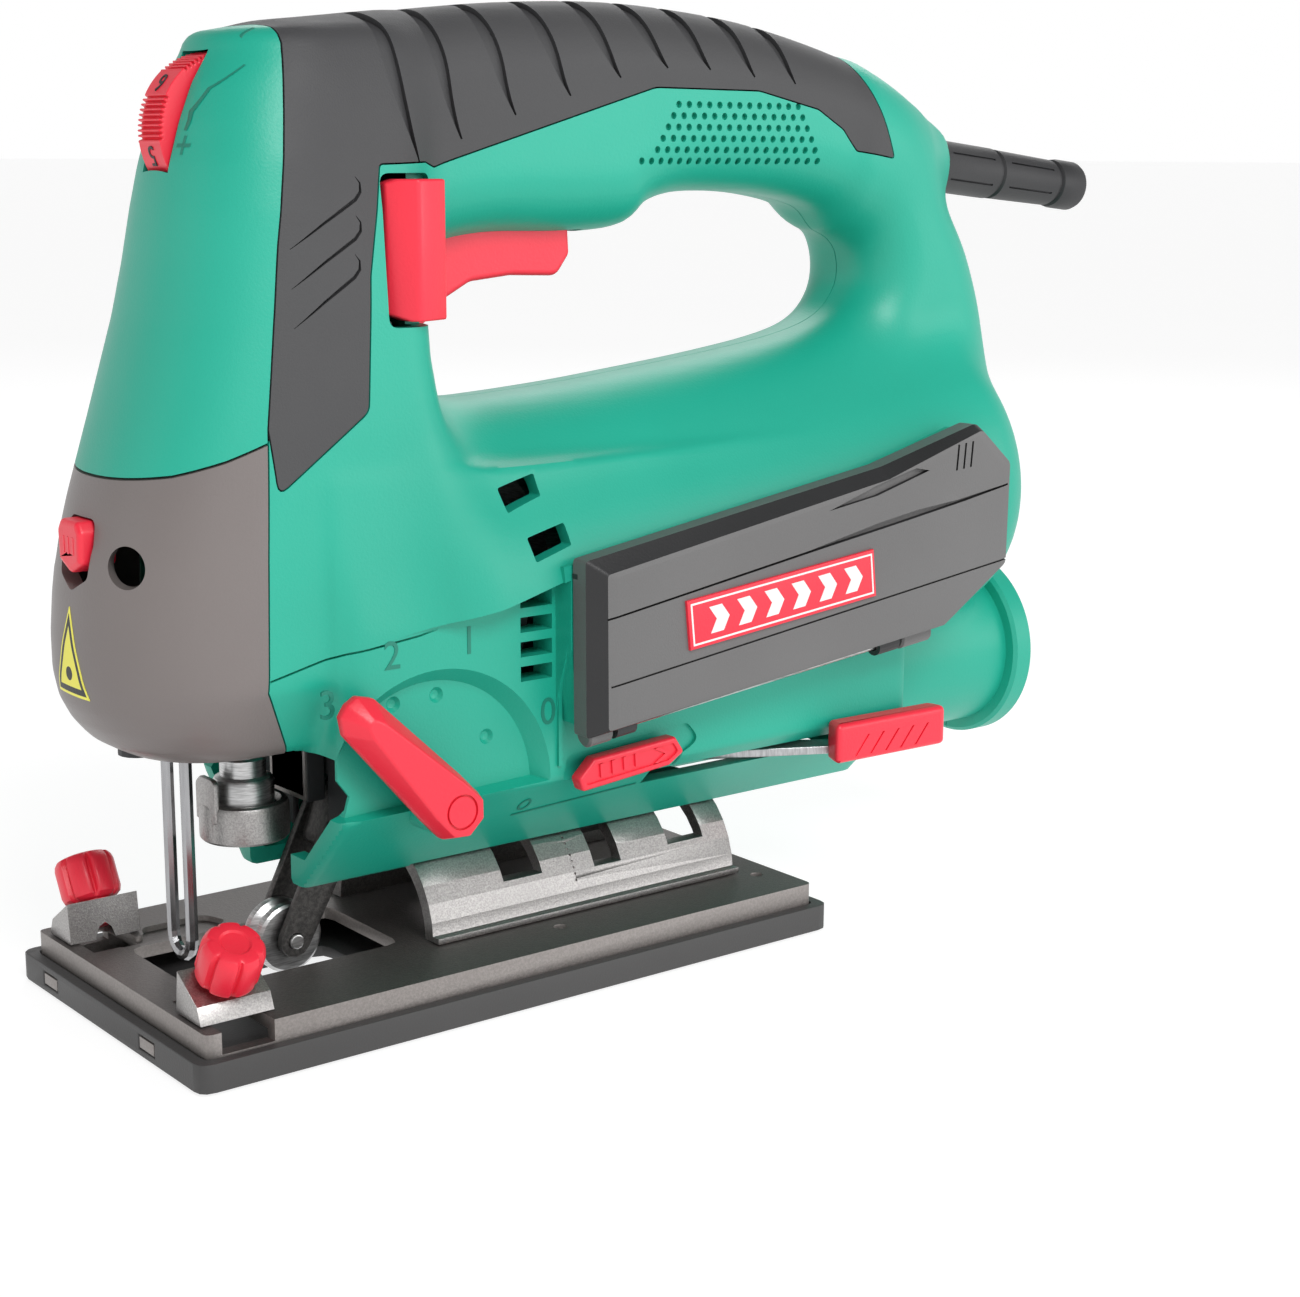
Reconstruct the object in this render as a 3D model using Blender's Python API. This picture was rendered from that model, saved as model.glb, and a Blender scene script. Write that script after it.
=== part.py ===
# A corded jigsaw: shoe with bevel bracket, clamshell body with a D-handle,
# and the motor, gear, plunger and controls inside and on it.
# Sizes are in millimetres and become metres when a mesh is made.
# +Z is up, the nose points to -X, the operator's left is -Y, and the origin
# is the centre of the shoe's underside.

import math

import bmesh
import bpy
from mathutils import Matrix, Vector

MM = 0.001
GAP = 0.3                   # clearance between pieces that touch
SLACK = 0.6                 # clearance round pieces that move

# Shoe
SOLE_LENGTH = 154.6
SOLE_WIDTH = 80.0
SOLE_CORNER = 3.0
COVER_HEIGHT = 5.7
COVER_FLOOR = 2.4
COVER_RIM = 2.5
PLATE_TOP = 10.2
PLATE_SKIN = 2.6
PLATE_SIDE = 2.8
WINDOW_START = 12.5         # behind the shoe's front edge
WINDOW_LENGTH = 46.0
WINDOW_WIDTH = 30.0
WINDOW_STEP = 2.0           # how far the cover's window is inside the plate's
GUIDE_START = 6.0           # rip guide channel, behind the shoe's front edge
GUIDE_WIDTH = 11.0
GUIDE_BASE = 5.9
GUIDE_REACH = 20.0          # inwards from the plate's edge
LUG_LENGTH = 15.4
LUG_WIDTH = 10.0
LUG_HIGH = 8.4
LUG_LOW = 3.4
KNOB_RADIUS = 6.2
KNOB_LENGTH = 10.5
KNOB_STEM = 2.2
KNOB_LEAN = 30.0            # degrees outwards from upright

# Bevel bracket: a half tube along X, centred on the bevel axis
BRACKET_RADIUS = 20.0
BRACKET_WALL = 3.0
BRACKET_START = -14.0       # in the machine's frame, as every X below
BRACKET_LENGTH = 80.0
BRACKET_FOOT = 2.0
BRACKET_FOOT_HEIGHT = 1.2
BRACKET_WINDOW = 10.0
BRACKET_WINDOWS = (10.0, 54.0)
BOLT_X = 32.0
BOLT_RADIUS = 3.0
BEVEL_LIMIT = 45.0
CLAMP_PLATE = 2.8

# Body; the machine's frame is 77.3 behind the shoe's front edge
MACHINE_BEHIND_FRONT = 77.3
WALL = 3.2
SKIN = 1.6                  # soft overmould on the handle
NOSE = -80.8
HEAD_HALF_WIDTH = 28.0
HEAD_BOTTOM = 54.0
NOSE_TOP = 112.0
HANDLE_TOP = 199.0
HANDLE_HALF_WIDTH = 17.5
HANDLE_EDGE = 13.0
GRIP_DEPTH = 38.5           # from the handle's top to the finger gap
BARREL_RADIUS = 36.0
BARREL_TILT = 6.0           # degrees, rising to the rear
BARREL_MIDDLE = (49.0, 0.0, 84.5)
BARREL_FRONT = -20.0
BARREL_REAR = 146.0
KEEL_START = -38.0
KEEL_END = 108.0
KEEL_HALF_WIDTH = 31.0
KEEL_SHOULDER = 47.0
KEEL_FLAT = 12.5
KEEL_SLACK = 2.2            # left over the plate at full bevel
PRONG_GAP = 17.0
TAIL_START = 92.0
TAIL_END = 159.4
TAIL_HEIGHT = 48.7
TAIL_RADIUS = 19.5
TAIL_BORE = 16.5
TAIL_RIM = 3.2
TAIL_RIM_LENGTH = 5.2
BOSS_END = (140.0, 0.0, 166.3)
BOSS_RADIUS = 8.6
BOSS_DROP = 6.1             # degrees that the cord's exit points down

# Drive
PLUNGER_X = -45.5
PLUNGER_RADIUS = 4.0
PLUNGER_BOTTOM = 44.0
PLUNGER_TOP = 142.0
STROKE_UP = 4.0
STROKE_DOWN = 14.0
BUSH_WALL = 2.5
BUSH_LENGTH = 9.0
RUNNING = 0.05              # radial clearance of a shaft in its bush
LOWER_SHELF = 62.0
UPPER_SHELF = 131.0
SHELF = 5.5
CLAMP_RING_RADIUS = 9.0
CLAMP_RING_BOTTOM = 33.8
CLAMP_RING_LENGTH = 8.5
CLAMP_HUB_RADIUS = 6.2
GUARD_X = -60.0
GUARD_HALF_WIDTH = 4.0
GUARD_RADIUS = 1.3
GUARD_BOTTOM = 11.2
MOTOR_HEIGHT = 80.0
SHAFT_RADIUS = 3.0
PINION_RADIUS = 2.3
PINION_TEETH = 6
GEAR_TEETH = 60
GEAR_WIDTH = 8.0
GEAR_FACE = -31.0
GEAR_PIN_RADIUS = 4.0
CORE_RADIUS = 17.0
CORE_START = 14.0
CORE_LENGTH = 42.0
STATOR_WALL = 9.0
AIR_GAP = 0.6
FAN_RADIUS = 26.0
FAN_START = -2.0
FAN_LENGTH = 8.0
FAN_BLADES = 9
COMMUTATOR_RADIUS = 10.0
COMMUTATOR_START = 64.0
COMMUTATOR_LENGTH = 12.0
BEARING_RADIUS = 9.5
BEARING_LENGTH = 7.0
ROLLER_CENTRE = (-37.8, 0.0, 11.9)
ROLLER_RADIUS = 6.0
ROLLER_WIDTH = 7.0
ROLLER_PIN = 1.6
ARM_PIVOT = (-24.0, 0.0, 38.0)
ARM_PIN = 2.0
ARM_CHEEK = 1.8

# Controls
DIAL_CENTRE_X = -45.5
DIAL_DROP = 27.0            # below the handle's top
DIAL_RADIUS = 15.0
DIAL_WIDTH = 9.0
TRIGGER_WIDTH = 14.0
TRIGGER_PIVOT = (-8.0, 0.0, 154.5)
LOCK_FACE = 28.6            # |y| of the lock button's face
LOCK_DEPTH = 7.0
LOCK_TRAVEL = 3.0
LOCK_STEM = 5.6
SELECTOR_PIVOT = (-19.0, 43.5)
SELECTOR_REACH = 29.0
SCALE_FACE = 30.6           # |y| of the flat panel behind the selector
SELECTOR_FACE = 33.2        # |y| of the boss that the lever turns on
SELECTOR_THICKNESS = 5.6
SELECTOR_SHAFT = 4.0
LEVER_HEIGHT = 38.6
LID_ORIGIN = (9.5, 54.0)
LID_INNER = 36.7            # |y| where the lid's rim meets the body
LID_THICKNESS = 6.9
LID_WALL = 1.8
HINGE_RADIUS = 2.4
HINGE_PIN = 1.0
BOOT_LENGTH = 52.0
BOOT_RADIUS = 6.4
CABLE_BORE = 2.7
SCREW_RADIUS = 1.4
SCREW_HEAD = 3.4
SCREW_PLACES = ((-4.0, 41.0), (88.0, 43.0), (138.0, 96.0), (62.0, 171.0))

# Places worked out from the sizes above
FRONT = -SOLE_LENGTH / 2
MACHINE_X = FRONT + MACHINE_BEHIND_FRONT
BEVEL_Z = PLATE_TOP
BRACKET_END = BRACKET_START + BRACKET_LENGTH
GAP_TOP = HANDLE_TOP - GRIP_DEPTH
GEAR_RADIUS = PINION_RADIUS * GEAR_TEETH / PINION_TEETH
GEAR_HEIGHT = MOTOR_HEIGHT + GEAR_RADIUS + PINION_RADIUS
CRANK = (STROKE_UP + STROKE_DOWN) / 2
YOKE_HEIGHT = GEAR_HEIGHT + CRANK - STROKE_UP
LID_FACE = LID_INNER + LID_THICKNESS
TILT = math.radians(BARREL_TILT)
ALONG_BARREL = (math.cos(TILT), 0.0, math.sin(TILT))
CORD_WAY = (math.cos(math.radians(BOSS_DROP)), 0.0, -math.sin(math.radians(BOSS_DROP)))
KEEL_BOTTOM = BEVEL_Z + KEEL_FLAT + KEEL_SLACK


def finish(name, colour, roughness, metallic=0.0):
    material = bpy.data.materials.new(name)
    material.use_nodes = True
    shader = material.node_tree.nodes["Principled BSDF"]
    shader.inputs["Base Color"].default_value = (*colour, 1.0)
    shader.inputs["Roughness"].default_value = roughness
    shader.inputs["Metallic"].default_value = metallic
    return material


def clear_scene():
    for old in list(bpy.data.objects):
        bpy.data.objects.remove(old, do_unlink=True)


def solid(name, points, faces, material=None):
    """One mesh object. Without a material it is a cutter or a guide."""
    mesh = bpy.data.meshes.new(name)
    mesh.from_pydata([Vector(point) * MM for point in points], [], faces)
    work = bmesh.new()
    work.from_mesh(mesh)
    bmesh.ops.recalc_face_normals(work, faces=work.faces)
    work.to_mesh(mesh)
    work.free()
    mesh.shade_smooth()
    mesh.set_sharp_from_angle(angle=math.radians(35))
    thing = bpy.data.objects.new(name, mesh)
    bpy.context.collection.objects.link(thing)
    if material:
        mesh.materials.append(material)
    else:
        thing.hide_render = True
        thing.display_type = "WIRE"
    return thing


def loft(name, rings, material=None, closed=False):
    """Skin equal rings in order; the ends are capped unless closed on itself."""
    count = len(rings[0])
    points = [point for ring in rings for point in ring]
    faces = []
    spans = len(rings) if closed else len(rings) - 1
    for span in range(spans):
        low = span * count
        high = ((span + 1) % len(rings)) * count
        for step in range(count):
            after = (step + 1) % count
            faces.append((low + step, low + after, high + after, high + step))
    if not closed:
        faces.append(tuple(range(count)))
        faces.append(tuple(range((len(rings) - 1) * count, len(rings) * count)))
    return solid(name, points, faces, material)


def placed(outline, across, level):
    """Points of a flat outline at a level along the axis it is swept on."""
    if across == "X":
        return [(level, u, v) for u, v in outline]
    if across == "Y":
        return [(u, level, v) for u, v in outline]
    return [(u, v, level) for u, v in outline]


def prism(name, outline, across, low, high, material=None):
    rings = [placed(outline, across, low), placed(outline, across, high)]
    return loft(name, rings, material)


def box(name, low, high, material=None):
    outline = [(low[0], low[1]), (high[0], low[1]), (high[0], high[1]), (low[0], high[1])]
    return prism(name, outline, "Z", low[2], high[2], material)


def turned(name, profile, origin, direction, material=None, sides=24, closed=False):
    """Turn (radius, distance along) points about a line through origin."""
    along = Vector(direction).normalized()
    side = along.orthogonal().normalized()
    other = along.cross(side)
    rings = []
    for radius, distance in profile:
        centre = Vector(origin) + along * distance
        ring = []
        for step in range(sides):
            angle = 2 * math.pi * (step + 0.5) / sides
            ring.append(centre + radius * (math.cos(angle) * side + math.sin(angle) * other))
        rings.append(ring)
    return loft(name, rings, material, closed)


def rod(name, origin, direction, radius, start, end, material=None, sides=24):
    return turned(name, [(radius, start), (radius, end)], origin, direction, material, sides)


def ring(name, origin, direction, outer, inner, start, end, material=None, sides=24):
    profile = [(outer, start), (outer, end), (inner, end), (inner, start)]
    return turned(name, profile, origin, direction, material, sides, closed=True)


def combine(thing, other, operation):
    change = thing.modifiers.new(operation.title(), "BOOLEAN")
    change.operation = operation
    change.solver = "EXACT"
    change.object = other
    other.hide_render = True
    other.display_type = "WIRE"
    return thing


def cut(thing, *cutters):
    for cutter in cutters:
        combine(thing, cutter, "DIFFERENCE")
    return thing


def join(thing, *others):
    for other in others:
        combine(thing, other, "UNION")
    return thing


def keep(thing, region):
    return combine(thing, region, "INTERSECT")


def pivot(thing, point):
    """Put the origin of a piece on its joint's axis."""
    place = Vector(point) * MM
    thing.data.transform(Matrix.Translation(-place))
    thing.location = place
    return thing


def inset(outline, distance):
    """Move a counter-clockwise outline inwards by mitred corners."""
    moved = []
    count = len(outline)
    for index in range(count):
        before = Vector(outline[index - 1])
        here = Vector(outline[index])
        after = Vector(outline[(index + 1) % count])
        first = (here - before).normalized()
        second = (after - here).normalized()
        first_normal = Vector((-first.y, first.x))
        second_normal = Vector((-second.y, second.x))
        mitre = (first_normal + second_normal) / (1 + first_normal.dot(second_normal))
        moved.append(tuple(here + mitre * distance))
    return moved


def rounded(corners, steps=4):
    """Outline of (u, v, radius) corners with each corner an arc."""
    outline = []
    count = len(corners)
    for index, (u, v, radius) in enumerate(corners):
        here = Vector((u, v))
        before = Vector(corners[index - 1][:2]) - here
        after = Vector(corners[(index + 1) % count][:2]) - here
        reach = radius / math.tan(before.angle(after) / 2)
        start = here + before.normalized() * reach
        end = here + after.normalized() * reach
        for step in range(steps + 1):
            t = step / steps
            outline.append(tuple((1 - t) ** 2 * start + 2 * t * (1 - t) * here + t * t * end))
    return outline


def capsule(start, end, first, second, steps=6):
    """Outline round two circles, counter-clockwise."""
    start = Vector(start)
    end = Vector(end)
    heading = math.atan2(end.y - start.y, end.x - start.x)
    outline = []
    for centre, radius, turn in ((end, second, -math.pi / 2), (start, first, math.pi / 2)):
        for step in range(steps + 1):
            angle = heading + turn + math.pi * step / steps
            outline.append((centre.x + radius * math.cos(angle), centre.y + radius * math.sin(angle)))
    return outline


def arc(radius, first, last, steps, centre=(0.0, 0.0)):
    """Points on an arc; angles in degrees from the first axis."""
    points = []
    for step in range(steps + 1):
        angle = math.radians(first + (last - first) * step / steps)
        points.append((centre[0] + radius * math.cos(angle), centre[1] + radius * math.sin(angle)))
    return points


def wire(name, path, radius, material, sides=8):
    """Round wire whose path lies in a plane of constant X."""
    rings = []
    for index, here in enumerate(path):
        before = Vector(path[max(index - 1, 0)])
        after = Vector(path[min(index + 1, len(path) - 1)])
        along = (after - before).normalized()
        across = Vector((1.0, 0.0, 0.0))
        other = along.cross(across)
        rings.append([
            Vector(here) + radius * (math.cos(2 * math.pi * k / sides) * across
                                     + math.sin(2 * math.pi * k / sides) * other)
            for k in range(sides)])
    return loft(name, rings, material)


# ---------------------------------------------------------------- finishes

clear_scene()

GREEN = finish("green_shell", (0.03, 0.45, 0.33), 0.38)
GRIP = finish("soft_grip", (0.06, 0.06, 0.065), 0.6)
NOSE_GREY = finish("nose_metallic", (0.22, 0.19, 0.18), 0.35, 0.5)
RED = finish("red_plastic", (0.85, 0.03, 0.06), 0.35)
LID_GREY = finish("lid_grey", (0.11, 0.11, 0.11), 0.5)
BLACK = finish("black_plastic", (0.03, 0.03, 0.03), 0.5)
SOLE_BLACK = finish("sole_plastic", (0.07, 0.07, 0.07), 0.55)
PLATE = finish("plate_alloy", (0.2, 0.18, 0.17), 0.45, 0.8)
CAST = finish("cast_alloy", (0.5, 0.49, 0.48), 0.4, 0.9)
STEEL = finish("steel", (0.6, 0.6, 0.6), 0.25, 1.0)
CHROME = finish("chrome", (0.8, 0.8, 0.8), 0.08, 1.0)
COPPER = finish("copper", (0.7, 0.35, 0.2), 0.35, 1.0)
CARBON = finish("carbon", (0.05, 0.05, 0.05), 0.7)
BOARD = finish("board_green", (0.02, 0.2, 0.08), 0.5)


# ---------------------------------------------------------------- shoe

def sole_outline(trim):
    half_length = SOLE_LENGTH / 2 - trim
    half_width = SOLE_WIDTH / 2 - trim
    corner = max(SOLE_CORNER - trim / 2, 0.8)
    return rounded([(-half_length, -half_width, corner), (half_length, -half_width, corner),
                    (half_length, half_width, corner), (-half_length, half_width, corner)], 3)


def window_outline(trim):
    start = FRONT + WINDOW_START + trim
    end = FRONT + WINDOW_START + WINDOW_LENGTH - trim
    half = WINDOW_WIDTH / 2 - trim
    return rounded([(start, -half, 3.0), (end, -half, 3.0), (end, half, 3.0), (start, half, 3.0)], 2)


def make_sole_cover():
    cover = prism("sole_cover", sole_outline(0), "Z", 0, COVER_HEIGHT, SOLE_BLACK)
    pocket = prism("cut_cover_pocket", sole_outline(COVER_RIM), "Z", COVER_FLOOR, COVER_HEIGHT + 2)
    window = prism("cut_cover_window", window_outline(WINDOW_STEP), "Z", -2, COVER_HEIGHT)
    cut(cover, pocket, window)


def make_base_plate():
    edge = COVER_RIM + GAP
    plate = prism("base_plate", sole_outline(edge), "Z", COVER_FLOOR + GAP, PLATE_TOP, PLATE)
    hollow = prism("cut_plate_hollow", sole_outline(edge + PLATE_SIDE), "Z",
                   0, PLATE_TOP - PLATE_SKIN)
    window = prism("cut_plate_window", window_outline(0), "Z", 0, PLATE_TOP + 2)
    cut(plate, hollow, window)
    start = FRONT + GUIDE_START
    outer = SOLE_WIDTH / 2 + 2
    inner = SOLE_WIDTH / 2 - edge - GUIDE_REACH
    for side, low, high in (("left", -outer, -inner), ("right", inner, outer)):
        channel = box("cut_guide_" + side, (start, low, GUIDE_BASE),
                      (start + GUIDE_WIDTH, high, PLATE_TOP + 2))
        cut(plate, channel)


def make_guide_lug(side, sign):
    middle = FRONT + GUIDE_START + GUIDE_WIDTH / 2
    foot = PLATE_TOP + GAP
    outside = SOLE_WIDTH / 2 - COVER_RIM - 4.2
    inside = outside - LUG_WIDTH
    outline = [(sign * outside, foot), (sign * inside, foot),
               (sign * (inside + 1), foot + LUG_HIGH), (sign * (outside - 1.4), foot + LUG_LOW)]
    lug = prism("guide_lug_" + side, outline, "X", middle - LUG_LENGTH / 2,
                middle + LUG_LENGTH / 2, CAST)
    top = Vector((middle, sign * (outside + inside - 0.4) / 2, foot + (LUG_HIGH + LUG_LOW) / 2))
    lean = math.radians(KNOB_LEAN)
    way = Vector((0, sign * math.sin(lean), math.cos(lean)))
    bore = rod("cut_lug_" + side, top, way, KNOB_STEM + GAP, -20, 4, sides=12)
    cut(lug, bore)
    profile = [(KNOB_STEM, -6.5), (KNOB_STEM, 1.0), (KNOB_RADIUS - 2.0, 1.0),
               (KNOB_RADIUS, 3.0), (KNOB_RADIUS, KNOB_LENGTH - 1.5),
               (KNOB_RADIUS - 1.5, KNOB_LENGTH)]
    knob = turned("guide_knob_" + side, profile, top, way, RED, 16)
    pivot(knob, top)


def make_bracket():
    foot = BEVEL_Z + GAP
    low = math.degrees(math.asin(GAP / BRACKET_RADIUS))
    centre = (0.0, BEVEL_Z)
    outer = arc(BRACKET_RADIUS, low, 180 - low, 16, centre)
    inner_radius = BRACKET_RADIUS - BRACKET_WALL
    low_inner = math.degrees(math.asin(GAP / inner_radius))
    outline = outer + arc(inner_radius, 180 - low_inner, low_inner, 16, centre)
    start = MACHINE_X + BRACKET_START
    end = MACHINE_X + BRACKET_END
    bracket = prism("bevel_bracket", outline, "X", start, end, CAST)
    for side in (-1, 1):
        near = side * (BRACKET_RADIUS - BRACKET_WALL / 2)
        far = side * (BRACKET_RADIUS + BRACKET_FOOT)
        rail = box("join_foot_%d" % side, (start, min(near, far), foot),
                   (end, max(near, far), foot + BRACKET_FOOT_HEIGHT))
        join(bracket, rail)
        for index, middle in enumerate(BRACKET_WINDOWS):
            x = MACHINE_X + middle
            window = box("cut_bracket_window_%d_%d" % (side, index),
                         (x - BRACKET_WINDOW / 2, min(0, side * 30), BEVEL_Z + 9),
                         (x + BRACKET_WINDOW / 2, max(0, side * 30), BEVEL_Z + 16))
            cut(bracket, window)
    reach = math.radians(BEVEL_LIMIT) + (BOLT_RADIUS + SLACK) / (BRACKET_RADIUS - BRACKET_WALL)
    slot_floor = BEVEL_Z + (BRACKET_RADIUS - BRACKET_WALL) * math.cos(reach) - 1.2
    x = MACHINE_X + BOLT_X
    slot = box("cut_bracket_slot", (x - BOLT_RADIUS - SLACK, -BRACKET_RADIUS - 2, slot_floor),
               (x + BOLT_RADIUS + SLACK, BRACKET_RADIUS + 2, BEVEL_Z + BRACKET_RADIUS + 2))
    cut(bracket, slot)


# ---------------------------------------------------------------- body shapes

def head_levels():
    """Height share, nose set-back, rear X and half width of the head's sections."""
    return ((0.0, 9.0, -8.0, 24.0), (0.045, 2.5, -8.0, 27.0), (0.125, 0.0, -6.0, 28.0),
            (0.28, 2.0, -6.0, 28.0), (0.45, 9.5, -10.0, 27.5), (0.585, 16.0, -13.0, 26.5),
            (0.73, 20.5, -14.0, 25.0), (0.835, 25.0, -12.0, 22.5), (0.9, 29.5, -9.0, 19.0),
            (0.94, 37.0, -12.0, 12.5))


def head_section(front, rear, half_width):
    """Half-round nose, straight sides, rounded rear corners."""
    middle = front + half_width * 0.95
    corner = min(7.0, half_width / 2)
    outline = []
    for step in range(11):
        angle = math.pi / 2 + math.pi * step / 10
        outline.append((middle + (middle - front) * math.cos(angle), half_width * math.sin(angle)))
    outline += arc(corner, -90, 0, 3, (rear - corner, -half_width + corner))
    outline += arc(corner, 0, 90, 3, (rear - corner, half_width - corner))
    return outline


def head_solid(name, trim):
    rings = []
    height = HANDLE_TOP - HEAD_BOTTOM
    widen = HEAD_HALF_WIDTH / 28.0
    levels = head_levels()
    for index, (share, back, rear, half_width) in enumerate(levels):
        level = HEAD_BOTTOM + share * height
        if index == 0:
            level += trim
        if index == len(levels) - 1:
            level -= trim
        section = head_section(NOSE + back + trim, rear - trim, half_width * widen - trim)
        rings.append(placed(section, "Z", level))
    return loft(name, rings)


def handle_outline():
    top = HANDLE_TOP
    return [(-36, 96), (40, 90), (138, 92), (150, 104), (152, 118), (149.5, 134), (144, 148),
            (137, 158), (131, top - 30), (122, top - 16), (110, top - 10.5), (92, top - 5.5),
            (70.8, top - 2), (43.7, top), (18.4, top - 0.8), (-5.4, top - 3.1), (-28, top - 6.7),
            (-37, top - 10), (-42, top - 18), (-43, 140)]


def finger_gap_outline():
    top = GAP_TOP
    return [(-13, 127), (-8, 120.5), (4, 118), (30, 118.5), (49, 120), (72, 122.8), (92, 126.5),
            (104, 131), (111, 138), (112, 145), (107, top - 8), (97, top - 3.5), (84, top - 0.8),
            (70, top), (56, top - 0.4), (48, top - 3), (42, top - 8), (10, top - 8),
            (-5, top - 10.5), (-12, top - 15), (-15, 138)]


def handle_solid(name, trim):
    """D-handle: a plump slab with a finger gap whose rim is rounded too."""
    half = HANDLE_HALF_WIDTH - trim
    edge = HANDLE_EDGE - trim
    outer = inset(handle_outline(), trim)
    gap = inset(finger_gap_outline(), -trim)
    quarter = [math.radians(angle) for angle in (90, 60, 30, 0)]
    slab = []
    flare = [placed(inset(gap, -edge), "Y", -half - 5)]
    for side in (-1, 1):
        for angle in (quarter if side < 0 else reversed(quarter)):
            level = side * (half - edge + edge * math.sin(angle))
            tuck = edge * (1 - math.cos(angle))
            slab.append(placed(inset(outer, tuck), "Y", level))
            flare.append(placed(inset(gap, -tuck), "Y", level))
    flare.append(placed(inset(gap, -edge), "Y", half + 5))
    handle = loft(name, slab)
    return cut(handle, loft("cut_" + name, flare))


def barrel_solid(name, trim):
    radius = BARREL_RADIUS - trim
    slope = math.cos(TILT)
    front = (BARREL_FRONT - BARREL_MIDDLE[0]) / slope + trim
    rear = (BARREL_REAR - BARREL_MIDDLE[0]) / slope - trim
    profile = [(radius - 10, front), (radius - 3, front + 6), (radius, front + 14),
               (radius, rear - 9), (radius - 4, rear - 3), (radius - 13, rear)]
    return turned(name, profile, BARREL_MIDDLE, ALONG_BARREL, sides=32)


def keel_solid(name, trim):
    half = KEEL_HALF_WIDTH
    outline = [(-half, KEEL_SHOULDER), (-KEEL_FLAT, KEEL_BOTTOM), (KEEL_FLAT, KEEL_BOTTOM),
               (half, KEEL_SHOULDER), (half, 86), (-half, 86)]
    return prism(name, inset(outline, trim), "X", KEEL_START + trim, KEEL_END - trim)


def body_solid(name, trim):
    """The whole body, trim inside its outer surface."""
    head = head_solid(name, trim)
    join(head, barrel_solid(name + "_barrel", trim), handle_solid(name + "_handle", trim),
         keel_solid(name + "_keel", trim))
    tail_start = TAIL_START + trim
    if trim:
        tail = [(TAIL_BORE, tail_start), (TAIL_BORE, TAIL_END + 10)]
        boss = [(BOOT_RADIUS + GAP, -30), (BOOT_RADIUS + GAP, 10)]
    else:
        rim = TAIL_END - TAIL_RIM_LENGTH
        tail = [(TAIL_RADIUS - 2, tail_start), (TAIL_RADIUS, rim - 30), (TAIL_RADIUS, rim),
                (TAIL_RADIUS + TAIL_RIM, rim), (TAIL_RADIUS + TAIL_RIM, TAIL_END)]
        boss = [(BOSS_RADIUS + 7, -30), (BOSS_RADIUS + 4, -12), (BOSS_RADIUS, 0)]
    join(head, turned(name + "_tail", tail, (0, 0, TAIL_HEIGHT), (1, 0, 0), sides=24),
         turned(name + "_boss", boss, BOSS_END, CORD_WAY, sides=20))
    return head


def seam_outline(grow):
    """Side view of what lies ahead of the seam between housing and front covers."""
    top = HANDLE_TOP
    return [(-130, 30), (-46 + grow, 30), (-46 + grow, HEAD_BOTTOM), (-54.5 + grow, 70),
            (-52.5 + grow, 119), (-41.5 + grow, top - 12), (-41.5 + grow, top + 20), (-130, top + 20)]


def grip_outline():
    """Side view of the overmould: handle top and the rear of the head."""
    top = HANDLE_TOP
    return [(-42.5, top + 20), (-42.5, top - 14), (-53, 119), (-51, 107), (-31, 121), (-29.5, 145),
            (-14, GAP_TOP + 3), (10, top - 26), (45, top - 17), (73, top - 18), (90, top - 21.5),
            (101, top - 29), (111, top - 31), (106, top - 11), (103, top + 20)]


# ---------------------------------------------------------------- housing

def through(name, outline, reach=60.0):
    return prism(name, outline, "Y", -reach, reach)


def lock_pocket():
    floor = LOCK_FACE - LOCK_DEPTH - LOCK_TRAVEL - SLACK
    return box("cut_lock_pocket", (-25.6, -60, 136.4), (-11.4, -floor, GAP_TOP + 4.1))


def lock_stem(name, grow, reach):
    back = LOCK_FACE - LOCK_DEPTH
    return box(name, (-21 - grow, -back - 1, GAP_TOP - 12 - grow),
               (-17 + grow, reach - back, GAP_TOP - 6 + grow))


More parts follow.
